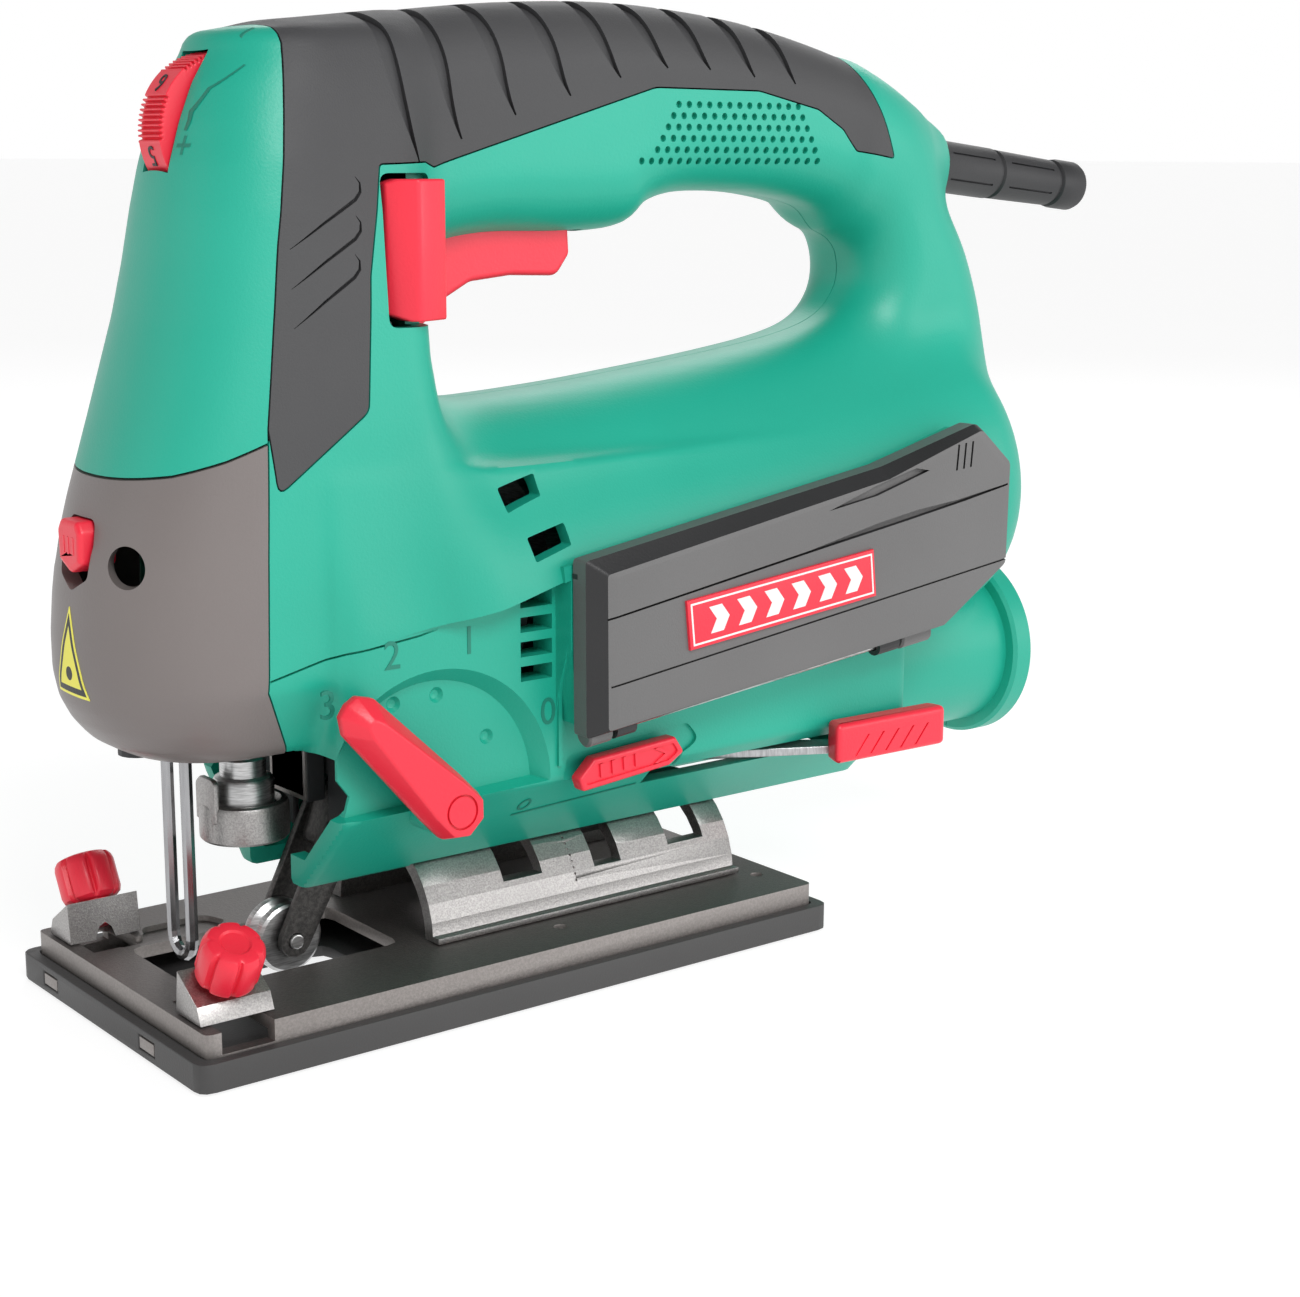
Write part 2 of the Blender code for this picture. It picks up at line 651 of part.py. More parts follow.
def make_housing():
    outer = body_solid("guide_outer", 0)
    inner = body_solid("guide_inner", WALL)
    groove_roof = rod("cut_inner_groove", (0, 0, BEVEL_Z), (1, 0, 0),
                      BRACKET_RADIUS + SLACK + WALL, BRACKET_START - 4, TAIL_START, sides=32)
    cut(inner, groove_roof)
    core = head_solid("guide_core", SKIN)
    join(core, handle_solid("guide_core_handle", SKIN))
    deep = head_solid("guide_deep", SKIN + GAP)
    join(deep, handle_solid("guide_deep_handle", SKIN + GAP))

    groove = rod("cut_groove", (0, 0, BEVEL_Z), (1, 0, 0), BRACKET_RADIUS + SLACK,
                 BRACKET_START - 1, KEEL_END + 5, sides=32)
    front = through("cut_front", seam_outline(GAP))
    prongs = box("cut_prongs", (KEEL_START - 5, -PRONG_GAP / 2, 0),
                 (BRACKET_START, PRONG_GAP / 2, HEAD_BOTTOM))
    plunger_way = rod("cut_plunger_way", (PLUNGER_X, 0, 0), (0, 0, 1),
                      CLAMP_HUB_RADIUS + 1.5, HEAD_BOTTOM - 5, LOWER_SHELF - 1.5, sides=16)
    trigger_way = box("cut_trigger_way", (-13.2, -TRIGGER_WIDTH / 2 - SLACK, 120),
                      (33.4, TRIGGER_WIDTH / 2 + SLACK, GAP_TOP + 2))
    bolt_way = rod("cut_bolt_way", (BOLT_X, 0, 0), (0, 0, 1), BOLT_RADIUS + SLACK,
                   20, LEVER_HEIGHT - 2, sides=12)
    arm_way = rod("cut_arm_pin", ARM_PIVOT, (0, 1, 0), ARM_PIN + GAP, -15, 15, sides=12)
    lever_way = box("cut_lever_way", (BOLT_X + 3, -60, LEVER_HEIGHT - 1.7),
                    (104, -14, LEVER_HEIGHT + 1.7))
    selector_way = rod("cut_selector_way", (SELECTOR_PIVOT[0], 0, SELECTOR_PIVOT[1]), (0, 1, 0),
                       SELECTOR_SHAFT + GAP, -60, -14, sides=16)
    slider_way = prism("cut_slider_way", slider_slot(), "Y", -60, -20)
    grip_shell = through("cut_grip", inset(grip_outline(), -GAP))
    cut(grip_shell, deep)
    dial_way = rod("cut_dial_housing", dial_centre(), (0, 1, 0), DIAL_RADIUS + SLACK,
                   -DIAL_WIDTH / 2 - SLACK, DIAL_WIDTH / 2 + SLACK)

    selector_boss = rod("join_selector_boss", (SELECTOR_PIVOT[0], 0, SELECTOR_PIVOT[1]),
                        (0, 1, 0), SELECTOR_SHAFT + 2, -SELECTOR_FACE, -24, sides=16)
    panels = [prism("cut_scale_panel_%d" % sign, scale_panel(), "Y",
                    min(sign * SCALE_FACE, sign * 60), max(sign * SCALE_FACE, sign * 60))
              for sign in (-1, 1)]
    for side, sign in (("left", -1), ("right", 1)):
        low, high = (-60, -GAP / 2) if sign < 0 else (GAP / 2, 60)
        half = box("housing_" + side, (-100, low, 0), (200, high, HANDLE_TOP + 20), GREEN)
        keep(half, outer)
        cut(half, inner, *panels)
        if sign < 0:
            join(half, selector_boss)
        for index, (x, z) in enumerate(SCREW_PLACES):
            post = rod("join_post_%s_%d" % (side, index), (x, 0, z), (0, 1, 0), SCREW_HEAD + 1.9,
                       min(sign * GAP / 2, sign * 60), max(sign * GAP / 2, sign * 60), sides=12)
            keep(post, outer)
            join(half, post)
        cut(half, front, grip_shell, groove, prongs, plunger_way, trigger_way, arm_way, bolt_way)
        for index, (x, z) in enumerate(SCREW_PLACES):
            place = (x, 0, z)
            if sign < 0:
                hole = rod("cut_screw_left_%d" % index, place, (0, 1, 0), SCREW_RADIUS + 0.15,
                           -14, 1, sides=12)
                cut(half, hole)
            else:
                hole = turned("cut_screw_right_%d" % index,
                              [(SCREW_RADIUS + GAP, -1), (SCREW_RADIUS + GAP, 10),
                               (SCREW_HEAD + GAP, 10), (SCREW_HEAD + GAP, 60)],
                              place, (0, 1, 0), sides=12)
                cut(half, hole)
        if sign < 0:
            cut(half, lever_way, selector_way, slider_way, lock_pocket(),
                lock_stem("cut_lock_stem", SLACK, LOCK_STEM + LOCK_TRAVEL + SLACK))
        cut(half, dial_way)
        for index, slot in enumerate(vents()):
            cut(half, prism("cut_vent_%s_%d" % (side, index), slot, "Y",
                            min(sign * 26, sign * 60), max(sign * 26, sign * 60)))

    grip = through("grip_overmould", grip_outline())
    grip.hide_render = False
    grip.display_type = "TEXTURED"
    grip.data.materials.append(GRIP)
    keep(grip, outer)
    cut(grip, core, front, lock_pocket(), trigger_way)

    nose = through("nose_cover", seam_outline(0))
    cap = through("front_cap", seam_outline(0))
    split = box("region_nose", (-130, -60, 0), (0, 60, NOSE_TOP))
    above = box("region_cap", (-130, -60, NOSE_TOP + GAP), (0, 60, HANDLE_TOP + 30))
    for piece, region, material in ((nose, split, NOSE_GREY), (cap, above, GREEN)):
        piece.hide_render = False
        piece.display_type = "TEXTURED"
        piece.data.materials.append(material)
        keep(piece, outer)
        cut(piece, inner)
        keep(piece, region)
    cut(cap, dial_way)
    button_way = box("cut_laser_button", (NOSE - 5, -5.5, 90.9), (-60, 5.5, 102.1))
    laser_way = rod("cut_laser", (-67.5, 0, 0), (0, 0, 1), 4.6, 40, 60, sides=16)
    guard_ways = [rod("cut_guard_%d" % side, (GUARD_X, side * GUARD_HALF_WIDTH, 0), (0, 0, 1),
                      GUARD_RADIUS + GAP, 40, 60, sides=12) for side in (-1, 1)]
    cut(nose, button_way, laser_way, plunger_way, *guard_ways)


def scale_panel():
    """Flat panel behind the selector and the louvres, in side view."""
    return [(-55, KEEL_SHOULDER + 1), (8.7, KEEL_SHOULDER + 1), (8.7, 85), (-6.6, 80.8),
            (-38.6, 75.9), (-55, 71.8)]


def vents():
    """Two slanted windows above four louvre slots, in side view."""
    slots = []
    for low in (94.0, 102.5):
        slots.append([(1.0, low), (9.0, low + 2.6), (9.0, low + 6.6), (1.0, low + 4.0)])
    for index in range(4):
        low = 65.5 + 5.2 * index
        slots.append([(1.0, low), (8.0, low), (8.0, low + 3.0), (1.0, low + 3.0)])
    return slots


def make_screws():
    for index, (x, z) in enumerate(SCREW_PLACES):
        turned("housing_screw_%d" % (index + 1),
               [(SCREW_RADIUS, -11), (SCREW_RADIUS, 10 + GAP), (SCREW_HEAD, 10 + GAP),
                (SCREW_HEAD, 12.3), (SCREW_HEAD - 0.8, 12.8)], (x, 0, z), (0, 1, 0), STEEL, 12)


# ---------------------------------------------------------------- drive

def make_motor():
    axle = (0.0, 0.0, MOTOR_HEIGHT)
    forward = (1, 0, 0)
    bore = SHAFT_RADIUS + GAP
    turned("armature_shaft", [(PINION_RADIUS - GAP, GEAR_FACE - 1), (PINION_RADIUS - GAP, -22.2),
                              (SHAFT_RADIUS, -22.2), (SHAFT_RADIUS, 96)],
           axle, forward, STEEL, 16)
    core_end = CORE_START + CORE_LENGTH
    ring("armature_core", axle, forward, CORE_RADIUS, bore, CORE_START, core_end, COPPER)
    inner = CORE_RADIUS + AIR_GAP
    ring("motor_stator", axle, forward, inner + STATOR_WALL, inner, CORE_START - 2, core_end + 2,
         STEEL, 28)
    ring("commutator", axle, forward, COMMUTATOR_RADIUS, bore, COMMUTATOR_START,
         COMMUTATOR_START + COMMUTATOR_LENGTH, COPPER, 20)
    fan_end = FAN_START + FAN_LENGTH
    fan = turned("motor_fan", [(9, FAN_START), (9, fan_end - 2), (FAN_RADIUS, fan_end - 2),
                               (FAN_RADIUS, fan_end), (bore, fan_end), (bore, FAN_START)],
                 axle, forward, BLACK, 24, closed=True)
    for index in range(FAN_BLADES):
        angle = 2 * math.pi * index / FAN_BLADES
        away = Vector((0, math.cos(angle), math.sin(angle)))
        aside = Vector((0, -math.sin(angle), math.cos(angle)))
        centre = Vector(axle)
        rings = []
        for x in (FAN_START + 0.8, fan_end - 1):
            rings.append([centre + away * r + aside * s + Vector((x, 0, 0))
                          for r, s in ((8, -0.8), (FAN_RADIUS - 1.5, 2.2),
                                       (FAN_RADIUS - 1.5, 3.6), (8, 0.8))])
        join(fan, loft("join_fan_blade_%d" % index, rings))
    for name, start in (("bearing_front", -16.0), ("bearing_rear", 86.0)):
        ring(name, axle, forward, BEARING_RADIUS, SHAFT_RADIUS + GAP, start,
             start + BEARING_LENGTH, STEEL, 20)
    near = COMMUTATOR_RADIUS + GAP
    middle = COMMUTATOR_START + COMMUTATOR_LENGTH / 2
    for side, low, high in (("left", -near - 13, -near), ("right", near, near + 13)):
        box("carbon_brush_" + side, (middle - 4, low, MOTOR_HEIGHT - 3.5),
            (middle + 4, high, MOTOR_HEIGHT + 3.5), CARBON)


def make_gear():
    centre = (0.0, 0.0, GEAR_HEIGHT)
    back = GEAR_FACE + GEAR_WIDTH
    gear = ring("drive_gear", centre, (1, 0, 0), GEAR_RADIUS - GAP, GEAR_PIN_RADIUS + GAP,
                GEAR_FACE, back, STEEL, 40)
    join(gear, rod("join_crank_pin", (0, 0, GEAR_HEIGHT + CRANK), (1, 0, 0), 2.5,
                   GEAR_FACE - 5.6, GEAR_FACE + 2, sides=12))
    turned("gear_pin", [(5.5, GEAR_FACE - 1.8), (5.5, GEAR_FACE - GAP),
                        (GEAR_PIN_RADIUS, GEAR_FACE - GAP), (GEAR_PIN_RADIUS, back + 5)],
           centre, (1, 0, 0), STEEL, 20)


def make_gear_case():
    front = PLUNGER_X - PLUNGER_RADIUS - BUSH_WALL - 3.5
    wall = GEAR_FACE + GEAR_WIDTH + 1
    top = UPPER_SHELF + SHELF
    outline = [(front, LOWER_SHELF), (wall + 4, LOWER_SHELF), (wall + 4, top), (front, top),
               (front, UPPER_SHELF), (wall, UPPER_SHELF), (wall, LOWER_SHELF + SHELF),
               (front, LOWER_SHELF + SHELF)]
    case = prism("gear_case", outline, "Y", -15, 15, CAST)
    bush = PLUNGER_RADIUS + BUSH_WALL + GAP
    cut(case, rod("cut_case_bushes", (PLUNGER_X, 0, 0), (0, 0, 1), bush, 40, 160),
        rod("cut_case_shaft", (0, 0, MOTOR_HEIGHT), (1, 0, 0), 8, -40, 0, sides=20),
        rod("cut_case_pin", (0, 0, GEAR_HEIGHT), (1, 0, 0), GEAR_PIN_RADIUS + GAP, -40, 0,
            sides=20))


def make_plunger():
    here = (PLUNGER_X, 0, 0)
    up = (0, 0, 1)
    rod("plunger_rod", here, up, PLUNGER_RADIUS, PLUNGER_BOTTOM, PLUNGER_TOP, CHROME)
    for name, shelf in (("plunger_bush_lower", LOWER_SHELF), ("plunger_bush_upper", UPPER_SHELF)):
        start = shelf + (SHELF - BUSH_LENGTH) / 2
        ring(name, here, up, PLUNGER_RADIUS + BUSH_WALL, PLUNGER_RADIUS + RUNNING, start,
             start + BUSH_LENGTH, COPPER)
    face = GEAR_FACE - 6.2
    yoke = box("plunger_yoke", (PLUNGER_X - 8, -15, YOKE_HEIGHT - 6.5),
               (face, 15, YOKE_HEIGHT + 6.5), STEEL)
    cut(yoke, rod("cut_yoke_bore", here, up, PLUNGER_RADIUS + GAP, 0, 200),
        box("cut_yoke_slot", (face - 2.5, -12.5, YOKE_HEIGHT - 2.9),
            (face + 3, 12.5, YOKE_HEIGHT + 2.9)))
    low = CLAMP_RING_BOTTOM
    hub = turned("blade_clamp", [(4.4, low - 0.3), (CLAMP_HUB_RADIUS, low + 1),
                                 (CLAMP_HUB_RADIUS, 47), (4.6, 48), (4.6, 51)], here, up, STEEL)
    cut(hub, rod("cut_clamp_bore", here, up, PLUNGER_RADIUS + GAP, PLUNGER_BOTTOM - GAP, 60),
        box("cut_blade_slot", (PLUNGER_X - 4.2, -0.9, 20),
            (PLUNGER_X + 4.2, 0.9, PLUNGER_BOTTOM - 2)))
    collar = ring("clamp_ring", here, up, CLAMP_RING_RADIUS, CLAMP_HUB_RADIUS + GAP,
                  low + 0.6, low + CLAMP_RING_LENGTH, STEEL)
    tab = PLUNGER_X - CLAMP_RING_RADIUS
    join(collar, box("join_clamp_tab", (tab + 0.4, -4, low + 5), (tab + 1.6, 4, low + 14)))
    pivot(collar, (PLUNGER_X, 0, CLAMP_RING_BOTTOM))


def make_roller():
    axle = (0, 1, 0)
    half = ROLLER_WIDTH / 2
    bore = ROLLER_PIN + GAP / 2
    flange = ROLLER_RADIUS + 1.3
    profile = [(flange, -half), (flange, -half + 1.5), (ROLLER_RADIUS, -half + 2.2),
               (ROLLER_RADIUS, half), (bore, half), (bore, -half)]
    roller = turned("guide_roller", profile, ROLLER_CENTRE, axle, STEEL, 24, closed=True)
    pivot(roller, ROLLER_CENTRE)
    inside = half + 0.5
    outside = inside + ARM_CHEEK
    arm = None
    eye = (ARM_PIVOT[0], ARM_PIVOT[2])
    nose = (ROLLER_CENTRE[0], ROLLER_CENTRE[2])
    for side, low, high in (("left", -outside, -inside), ("right", inside, outside)):
        cheek = prism("roller_arm" if arm is None else "join_cheek_" + side,
                      capsule(eye, nose, 4.2, 3.4), "Y", low, high, CAST if arm is None else None)
        arm = arm or cheek
        if cheek is not arm:
            join(arm, cheek)
    web_low = (eye[0] * 0.72 + nose[0] * 0.28, eye[1] * 0.72 + nose[1] * 0.28)
    join(arm, prism("join_web", capsule(eye, web_low, 3.4, 2.2, 4), "Y", -inside - 1, inside + 1))
    cut(arm, rod("cut_arm_eye", ARM_PIVOT, axle, ARM_PIN + GAP, -20, 20, sides=12),
        rod("cut_arm_nose", ROLLER_CENTRE, axle, ROLLER_PIN + GAP / 2, -20, 20, sides=12))
    pivot(arm, ARM_PIVOT)
    rod("roller_pin", ROLLER_CENTRE, axle, ROLLER_PIN, -outside - 0.6, outside + 0.6, STEEL, 12)
    rod("arm_pin", ARM_PIVOT, axle, ARM_PIN, -13, 13, STEEL, 12)


def make_guard_and_nozzle():
    half = GUARD_HALF_WIDTH
    bottom = GUARD_BOTTOM + GUARD_RADIUS + half
    path = [(GUARD_X, -half, 63), (GUARD_X, -half, 40)]
    path += [(GUARD_X, y, z) for y, z in arc(half, 180, 360, 8, (0, bottom))]
    path += [(GUARD_X, half, 40), (GUARD_X, half, 63)]
    wire("touch_guard", path, GUARD_RADIUS, CHROME)
    frame = box("blower_nozzle", (-35.2, -7.4, 41), (-31.2, 7.4, 53), STEEL)
    cut(frame, box("cut_nozzle", (-40, -5.6, 42.6), (-30, 5.6, 51.4)))


# ---------------------------------------------------------------- controls

def dial_centre():
    return (DIAL_CENTRE_X, 0.0, HANDLE_TOP - DIAL_DROP)


def slider_slot():
    """Long slot along the ledge for the blow slider's stem, in side view."""
    return [(15, 43.4), (41, 45.4), (41, 48.0), (15, 46.0)]


def make_dial():
    half = DIAL_WIDTH / 2
    stub = 2.2
    dial = turned("speed_dial", [(stub, -half - 4), (stub, -half), (DIAL_RADIUS, -half),
                                 (DIAL_RADIUS, half), (stub, half), (stub, half + 4)],
                  dial_centre(), (0, 1, 0), RED, 32)
    pivot(dial, dial_centre())


def make_trigger():
    x, _, z = TRIGGER_PIVOT
    outline = [(x - 3.4, z - 14), (x, z - 23), (x + 5, z - 17.5), (x + 12, z - 13),
               (x + 22, z - 11.5), (x + 35, z - 10), (x + 38, z - 6), (x + 39, z - 1),
               (x + 36, z + 3.5), (x - 3.4, z + 3.5)]
    trigger = prism("trigger", outline, "Y", -TRIGGER_WIDTH / 2, TRIGGER_WIDTH / 2, RED)
    pivot(trigger, TRIGGER_PIVOT)


def make_lock_button():
    low = GAP_TOP - 23.2
    high = GAP_TOP + 3.2
    button = prism("lock_button", rounded([(-24.8, low, 2), (-12.2, low, 2), (-12.2, high, 2),
                                           (-24.8, high, 2)], 2), "Y", -LOCK_FACE,
                   LOCK_DEPTH - LOCK_FACE, RED)
    join(button, lock_stem("join_lock_stem", 0, LOCK_STEM))


def make_selector():
    centre = (SELECTOR_PIVOT[0], 0, SELECTOR_PIVOT[1])
    angle = math.radians(134)
    tip = (SELECTOR_PIVOT[0] + SELECTOR_REACH * math.cos(angle),
           SELECTOR_PIVOT[1] + SELECTOR_REACH * math.sin(angle))
    outer = -SELECTOR_FACE - GAP - SELECTOR_THICKNESS
    lever = prism("selector_lever", capsule(SELECTOR_PIVOT, tip, 6.0, 4.4), "Y", outer,
                  -SELECTOR_FACE - GAP, RED)
    pivot(lever, (centre[0], outer, centre[2]))
    shaft = turned("selector_shaft", [(SELECTOR_SHAFT, -SELECTOR_FACE), (SELECTOR_SHAFT, -17),
                                      (SELECTOR_SHAFT + 2.6, -17), (SELECTOR_SHAFT + 2.6, -13.6)],
                   centre, (0, 1, 0), STEEL, 16)
    pivot(shaft, centre)


def make_blow_slider():
    outline = [(13, 41.2), (35.5, 43.2), (39.5, 45.6), (37, 49.2), (16, 47.8), (12, 44)]
    slider = prism("blow_slider", outline, "Y", -35.4, -32.0, RED)
    stem = prism("join_slider_stem", [(18, 44.2), (30, 45.2), (30, 46.4), (18, 45.4)], "Y", -33, -24)
    join(slider, stem)


def make_bevel_lever():
    far = (84.0, -29.6)
    arm = prism("bevel_lever", capsule((BOLT_X, 0), far, 6.0, 3.0), "Z", LEVER_HEIGHT - 1.1,
                LEVER_HEIGHT + 1.1, STEEL)
    cut(arm, rod("cut_lever_eye", (BOLT_X, 0, 0), (0, 0, 1), BOLT_RADIUS + GAP, 0, 100, sides=16))
    grip = prism("bevel_lever_grip", [(81, -37.2), (113, -38.2), (115, -36), (113, -32.6),
                                      (84, -31.4)],
                 "Z", LEVER_HEIGHT - 2.4, LEVER_HEIGHT + 6.6, RED)
    cut(grip, prism("cut_grip_tang", inset(capsule((BOLT_X, 0), far, 6.0, 3.0), -GAP), "Z",
                    LEVER_HEIGHT - 1.4, LEVER_HEIGHT + 1.4))
    pivot(arm, (BOLT_X, 0, LEVER_HEIGHT))
    pivot(grip, (BOLT_X, 0, LEVER_HEIGHT))
    inner = BRACKET_RADIUS - BRACKET_WALL - SLACK
    centre = (0.0, BEVEL_Z)
    outline = arc(inner, 60, 120, 8, centre) + arc(inner - CLAMP_PLATE, 120, 60, 8, centre)
    plate = prism("bevel_clamp_plate", outline, "X", BOLT_X - 11, BOLT_X + 11, STEEL)
    cut(plate, rod("cut_clamp_plate", (BOLT_X, 0, 0), (0, 0, 1), BOLT_RADIUS + GAP, 0, 60, sides=16))
    nut_top = BEVEL_Z + math.sqrt((inner - CLAMP_PLATE) ** 2 - 5.5 ** 2) - GAP
    bolt = turned("bevel_bolt", [(5.5, nut_top - 4), (5.5, nut_top), (BOLT_RADIUS, nut_top),
                                 (BOLT_RADIUS, LEVER_HEIGHT + 1.4), (5.0, LEVER_HEIGHT + 1.4),
                                 (5.0, LEVER_HEIGHT + 4)], (BOLT_X, 0, 0), (0, 0, 1), STEEL, 16)
    pivot(bolt, (BOLT_X, 0, LEVER_HEIGHT))


def lid_point(u, v):
    """A point of the tilted lid: u along its hinge, v up its face."""
    return (LID_ORIGIN[0] + u * math.cos(TILT) - v * math.sin(TILT),
            LID_ORIGIN[1] + u * math.sin(TILT) + v * math.cos(TILT))


def lid_outline():
    return [lid_point(u, v) for u, v in ((0, 0), (99, 0.5), (119.5, 11), (122.5, 34.5),
                                         (113.5, 44.5), (84, 40), (0, 36))]


def make_storage():
    outline = lid_outline()
    hinge_y = -LID_INNER - HINGE_RADIUS + 0.6
    line = (LID_ORIGIN[0], hinge_y, LID_ORIGIN[1])
    lid = prism("storage_lid", outline, "Y", -LID_FACE, -LID_INNER, LID_GREY)
    cut(lid, prism("cut_lid", inset(outline, LID_WALL), "Y", -LID_FACE + LID_WALL, -LID_INNER + 5))
    for index, (start, end) in enumerate(((1, 7), (88, 97))):
        join(lid, rod("join_knuckle_%d" % index, line, ALONG_BARREL, HINGE_RADIUS, start, end,
                      sides=16))
    ears = ((8, 13), (81, 87))
    for index, (start, end) in enumerate(ears):
        cut(lid, rod("cut_lid_ear_%d" % index, line, ALONG_BARREL, HINGE_RADIUS + 0.5, start - 0.5,
                     end + 0.5, sides=16))
    cut(lid, rod("cut_lid_pin", line, ALONG_BARREL, HINGE_PIN + GAP, -5, 110, sides=12))
    pivot(lid, line)
    pin = rod("lid_hinge_pin", line, ALONG_BARREL, HINGE_PIN, 1.5, 96.5, STEEL, 12)
    pivot(pin, line)
    inner = inset(outline, LID_WALL + 1.4)
    tray = prism("storage_tray", inner, "Y", -LID_INNER - 1.6, -LID_INNER + 0.1, BLACK)
    for index, (start, end) in enumerate(ears):
        ear = rod("join_ear_%d" % index, line, ALONG_BARREL, HINGE_RADIUS, start, end, sides=16)
        web = prism("join_ear_web_%d" % index,
                    [lid_point(start, 0), lid_point(end, 0), lid_point(end, 6), lid_point(start, 6)],
                    "Y", -LID_INNER - 1.6, -LID_INNER + 0.1)
        join(tray, ear, web)
    cut(tray, rod("cut_tray_pin", line, ALONG_BARREL, HINGE_PIN + GAP, -5, 110, sides=12))
    corners = [lid_point(u, v) for u, v in ((25.5, 13), (77.5, 13), (77.5, 23.4), (25.5, 23.4))]
    badge = prism("lid_badge", corners, "Y", -LID_FACE - 1.1, -LID_FACE - GAP, RED)
    pivot(badge, line)


def make_laser():
    button = prism("laser_button", rounded([(-4.9, 92.5, 2), (4.9, 91.5, 2), (4.9, 99.5, 3),
                                            (0, 101.6, 2), (-4.9, 99.5, 3)], 2), "X", NOSE + 0.6,
                   NOSE + 8, RED)
    pivot(button, (NOSE + 0.6, 0, 96))
    rod("laser_module", (-67.5, 0, 0), (0, 0, 1), 4.2, 55, 74, BLACK, 16)


def make_electrics():
    top = HANDLE_TOP
    box("switch_block", (-2, -8.5, GAP_TOP + 3.2), (26, 8.5, top - 17), BLACK)
    box("speed_board", (-29.6, -12, top - 49), (-27.4, 12, top - 22), BOARD)
    box("cord_clamp", (104, -8, top - 25), (116, 8, top - 21), BLACK)


def make_boot():
    profile = [(BOOT_RADIUS, -16), (BOOT_RADIUS, 2), (BOOT_RADIUS - 1.0, BOOT_LENGTH - 4),
               (BOOT_RADIUS - 0.2, BOOT_LENGTH - 4), (BOOT_RADIUS - 0.2, BOOT_LENGTH),
               (CABLE_BORE, BOOT_LENGTH), (CABLE_BORE, -16)]
    turned("cable_boot", profile, BOSS_END, CORD_WAY, BLACK, 20, closed=True)


def move_machine():
    """Everything modelled in the machine's frame hangs on one empty."""
    machine = bpy.data.objects.new("machine", None)
    machine.location = Vector((MACHINE_X, 0, 0)) * MM
    bpy.context.collection.objects.link(machine)
    return machine


make_sole_cover()
make_base_plate()
make_guide_lug("left", -1)
make_guide_lug("right", 1)
make_bracket()
shoe = set(bpy.data.objects)
make_housing()
make_screws()
make_motor()
make_gear()
make_gear_case()
make_plunger()
make_roller()
make_guard_and_nozzle()
make_dial()
make_trigger()
make_lock_button()
make_selector()
make_blow_slider()
make_bevel_lever()
make_storage()
make_laser()
make_electrics()
make_boot()
carrier = move_machine()
for piece in list(bpy.data.objects):
    if piece not in shoe and piece is not carrier:
        piece.parent = carrier
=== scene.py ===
# %% [markdown]
# # Corded jigsaw
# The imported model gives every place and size. This script dresses it: each cell
# makes one piece or one finish of the saw, in millimetres, and turns it into
# metres when the mesh is made.

# %% The frame and its box
import math

import bmesh
import bpy
import numpy as np
from mathutils import Matrix, Vector


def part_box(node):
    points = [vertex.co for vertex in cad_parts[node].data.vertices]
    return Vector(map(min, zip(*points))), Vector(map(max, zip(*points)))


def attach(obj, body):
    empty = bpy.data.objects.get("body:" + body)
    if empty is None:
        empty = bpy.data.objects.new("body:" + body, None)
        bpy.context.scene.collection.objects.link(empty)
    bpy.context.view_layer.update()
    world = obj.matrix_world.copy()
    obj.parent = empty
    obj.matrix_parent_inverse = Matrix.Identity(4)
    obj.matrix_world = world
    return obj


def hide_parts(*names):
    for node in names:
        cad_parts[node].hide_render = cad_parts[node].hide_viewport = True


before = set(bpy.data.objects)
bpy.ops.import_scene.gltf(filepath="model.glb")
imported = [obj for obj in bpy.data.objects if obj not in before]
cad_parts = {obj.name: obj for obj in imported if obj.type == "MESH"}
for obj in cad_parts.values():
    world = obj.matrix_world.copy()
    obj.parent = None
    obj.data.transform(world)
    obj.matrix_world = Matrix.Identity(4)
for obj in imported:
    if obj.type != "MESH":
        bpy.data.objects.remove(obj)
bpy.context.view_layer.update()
MM = 0.001

# %% [markdown]
# The camera comes first, so that every later choice can be judged in its view.
# A long lens half a metre away gives a gentle perspective. The floor and the
# world are pale and plain, and four large soft lamps act as a studio tent: one
# high on the left, a weak one ahead of the nose, one behind to draw the top
# edges and one low beside the tail.

# %% Camera, floor and lamps
EYE = Vector((-255.69, -398.79, 168.87)) * MM
GAZE = Vector((0.60399, 0.76851, -0.21117))
ROLL = math.radians(0.24)


def turned_to(direction, roll=0.0):
    """Rotation of a camera or lamp that looks along direction."""
    way = Vector(direction).to_track_quat("-Z", "Y").to_matrix().to_4x4()
    return way @ Matrix.Rotation(roll, 4, "Z")


lens = bpy.data.cameras.new("view")
lens.sensor_width = 36.0
lens.lens = 63.676
lens.clip_start = 0.01
camera = bpy.data.objects.new("view", lens)
camera.matrix_world = Matrix.Translation(EYE) @ turned_to(GAZE, ROLL)
bpy.context.collection.objects.link(camera)
bpy.context.scene.camera = camera

world = bpy.data.worlds.new("studio")
world.use_nodes = True
# the tent is bright round the horizon and dimmer overhead, so forms keep some shade
sky = world.node_tree.nodes
heading = sky.new("ShaderNodeTexCoord")
split = sky.new("ShaderNodeSeparateXYZ")
fade = sky.new("ShaderNodeValToRGB")
fade.color_ramp.elements[0].position = 0.12
fade.color_ramp.elements[0].color = (1.0, 1.0, 1.0, 1.0)
fade.color_ramp.elements[1].position = 0.60
fade.color_ramp.elements[1].color = (0.24, 0.24, 0.24, 1.0)
world.node_tree.links.new(heading.outputs["Generated"], split.inputs[0])
world.node_tree.links.new(split.outputs["Z"], fade.inputs[0])
world.node_tree.links.new(fade.outputs[0], sky["Background"].inputs["Color"])
sky["Background"].inputs["Strength"].default_value = 1.0
bpy.context.scene.world = world
bpy.context.scene.view_settings.view_transform = "Standard"


